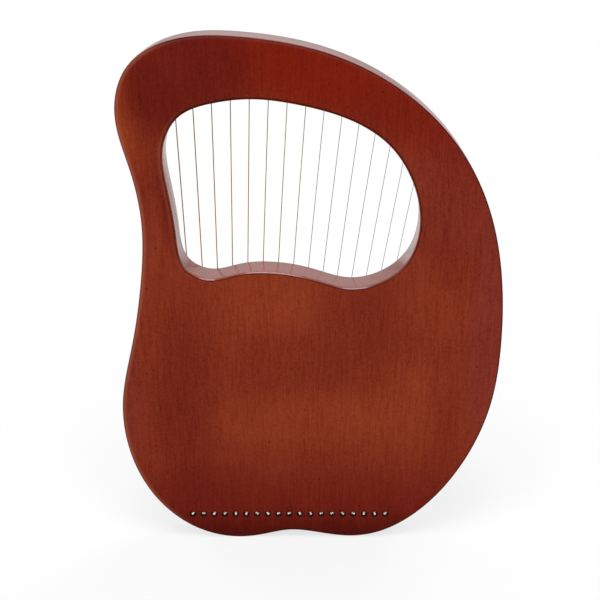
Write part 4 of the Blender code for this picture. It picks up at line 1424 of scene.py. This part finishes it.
class HARP_OT_pins(bpy.types.Operator):
    """Builds the nineteen tuning pins and the strings' cut ends that stick out of their cross holes"""

    bl_idname = "harp.pins"
    bl_label = "Tuning pins"

    def execute(self, context):
        settings = context.scene.harp_fittings
        buried = BODY_DEPTH - PIN_BURIED
        pattern = bored(pin_mesh(settings), settings.cross_hole, CROSS_HOLE_DEPTH - buried)
        for number in NUMBERS:
            foot = Vector(in_space(pin_place(number), buried))
            turned = Matrix.Rotation(-hole_angle(number), 4, "Y")
            mesh = pattern.copy()
            mesh.transform(Matrix.Translation(foot) @ turned)
            name = "pin_%02d" % number
            piece(name, mesh, pin_name(number), "nickelled_pins", pin_name(number))
            self.make_tail(number, settings)
        bpy.data.meshes.remove(pattern)
        return {"FINISHED"}

    def make_tail(self, number, settings):
        """The string's cut end, out of the cross hole opposite the coil's end, lifting as a parabola."""
        _, _, end = string_line(number, settings.contact)
        away = -np.array([math.cos(end), 0.0, math.sin(end)])
        share = np.linspace(0, 1, 14)[:, None]
        inside = 1.2 * MM
        reach = PIN_RADIUS - inside + share * (settings.tail + inside)
        lift = np.array(FORWARD) * share**2 * 0.5 * MM
        path = in_space(pin_place(number), CROSS_HOLE_DEPTH) + away * reach + lift
        guide = each((-away[2], 0, away[0]), path)
        radius = min(wire_radius(number), 0.36 * MM)
        wire_piece("tail_%02d" % number, number, pin_name(number), path, radius, guide, 10)


class HARP_OT_inside(bpy.types.Operator):
    """Gives the blocks, linings and braces inside the body their bare wood"""

    bl_idname = "harp.inside"
    bl_label = "Inner wood"

    def execute(self, context):
        for row in FRAME["record"]["subparts"]:
            if row["material_slot"] == "inner_wood":
                mesh = FRAME["nodes"][row["node"]].data
                mesh.materials.clear()
                mesh.materials.append(FINISHES["tail" if row["node"] == "tail_block" else "raw"])
        return {"FINISHED"}


# Stage


WHITE = (1, 1, 1)
CAMERA_PLACE = (0.01178, -1.06005, 0.63273)
CAMERA_SHIFT = -22 / 600
FLOOR_SIDES = 48
# Soft lamps: place, power in watts and size as a share of the lamps' own
LAMPS = {
    "key": ((-1.5, -1.7, 1.35), 14.0, 1.0),
    "fill": ((1.7, -1.5, 0.9), 9.0, 1.0),
    "top": ((0.0, -0.75, 2.05), 24.0, 0.83),
    "rear_key": ((1.4, 1.8, 1.4), 24.0, 1.0),
    "rear_fill": ((-1.7, 1.5, 0.9), 16.0, 1.0),
}
LAMPS_AIM = Vector((0, 0, 0.26))


def backdrop_world(settings):
    """White for the camera, white above a dim horizon for gloss, and soft light from all sides."""
    world = bpy.data.worlds.new("studio")
    bpy.context.scene.world = world
    finish = Finish("studio", world)
    camera, gloss, through = finish.light_path("Camera", "Glossy", "Transmission")
    _, y, z = finish.axes(finish.place("Generated"))
    sweep = y.step(-0.2, 0.5) * 0.4 + 0.05
    high = z.step(-0.02, 0.3)
    shown = camera + gloss * (sweep + high * (1 - sweep)) + through
    strength = shown.clamp() + (1 - (camera + gloss + through).clamp()) * settings.ambient
    background = finish.node("ShaderNodeBackground", {}, {"Color": rgba(WHITE), "Strength": strength})
    finish.node("ShaderNodeOutputWorld", {}, {"Surface": background})


def floor_finish():
    """Pale matt floor that glows for the camera, so that it meets the backdrop, and shows in gloss."""
    finish = Finish("floor")
    camera, gloss = finish.light_path("Camera", "Glossy")
    x, y, _ = finish.axes(finish.place())
    far = ((x * x + y * y) ** 0.5).step(0.25, 0.75)
    matt = finish.node("ShaderNodeBsdfDiffuse", {}, {"Color": rgba(toned(WHITE, 0.8))})
    behind = y.step(0.05, 0.9) * (0.7 + (0 - x).step(-0.3, 0.5) * 0.3)
    beside = (0 - x).step(0.25, 0.7) * y.step(-1.5, -0.9) * 0.5
    white = camera + gloss * (behind.math("MAXIMUM", beside) + 0.02)
    glow = finish.node("ShaderNodeEmission", {}, {"Color": rgba(WHITE), "Strength": white})
    share = camera * (0.72 + far * 0.28) + gloss
    both = finish.node("ShaderNodeMixShader", {}, {0: share, 1: matt, 2: glow})
    finish.node("ShaderNodeOutputMaterial", {}, {"Surface": both})
    return finish.data


class HARP_OT_stage(bpy.types.Operator):
    """Makes the floor, the white surroundings, the soft lamps and the camera"""

    bl_idname = "harp.stage"
    bl_label = "Stage"

    def execute(self, context):
        settings = context.scene.harp_stage
        context.scene.view_settings.view_transform = "Standard"
        backdrop_world(settings)
        self.make_floor(settings)
        for name, (place, power, size) in LAMPS.items():
            light = bpy.data.lights.new(name, "AREA")
            light.energy = power * settings.lamp
            light.size = settings.lamp_size * size
            lamp = linked(name, light)
            lamp.location = place
            lamp.rotation_euler = (LAMPS_AIM - Vector(place)).to_track_quat("-Z", "Y").to_euler()
        camera = bpy.data.cameras.new("camera")
        camera.lens = settings.lens
        camera.sensor_width = 36
        camera.shift_x = CAMERA_SHIFT
        viewer = linked("camera", camera)
        viewer.location = CAMERA_PLACE
        viewer.rotation_euler = (math.pi / 2 - settings.tilt, 0, 0)
        context.scene.camera = viewer
        return {"FINISHED"}

    def make_floor(self, settings):
        """A flat disc: rings whose radii grow by equal factors, and one face inside the first."""
        radius = np.geomspace(0.3, 30, settings.floor_rings)
        flat = radius[:, None, None] * spokes(FLOOR_SIDES)[None]
        shape = Shape()
        shape.grid(np.concatenate([flat, np.zeros_like(flat[:, :, :1])], axis=-1))
        shape.cover([list(range(FLOOR_SIDES))], [0])
        floor = linked("floor", shape.mesh("floor", [floor_finish()], outward=False))


class HARP_PT_panel(bpy.types.Panel):
    """Lists the harp's sizes, colours and building steps."""

    bl_label = "Lyre harp"
    bl_idname = "HARP_PT_panel"
    bl_space_type = "VIEW_3D"
    bl_region_type = "UI"
    bl_category = "Lyre harp"

    def draw(self, context):
        for name in SETTINGS:
            box = self.layout.box()
            settings = getattr(context.scene, name)
            for key in settings.__annotations__:
                box.prop(settings, key)
        for step in STEPS:
            self.layout.operator(step.bl_idname)


SETTINGS = {
    "harp_body": HarpBodySettings,
    "harp_fittings": HarpFittingSettings,
    "harp_finish": HarpFinishSettings,
    "harp_stage": HarpStageSettings,
}
STEPS = [
    HARP_OT_boards, HARP_OT_ribs, HARP_OT_inside, HARP_OT_bridge, HARP_OT_nut, HARP_OT_rosette,
    HARP_OT_strings, HARP_OT_pins, HARP_OT_stage,
]


def register():
    for group in SETTINGS.values():
        bpy.utils.register_class(group)
    for name, group in SETTINGS.items():
        setattr(bpy.types.Scene, name, PointerProperty(type=group))
    for step in STEPS:
        bpy.utils.register_class(step)
    bpy.utils.register_class(HARP_PT_panel)


def unregister():
    bpy.utils.unregister_class(HARP_PT_panel)
    for step in reversed(STEPS):
        bpy.utils.unregister_class(step)
    for name in SETTINGS:
        delattr(bpy.types.Scene, name)
    for group in SETTINGS.values():
        bpy.utils.unregister_class(group)


def main():
    register()
    scene = bpy.context.scene
    make_finishes(scene.harp_body, scene.harp_fittings, scene.harp_finish)
    for step in STEPS:
        getattr(bpy.ops.harp, step.bl_idname.split(".")[1])()


if __name__ == "__main__":
    main()
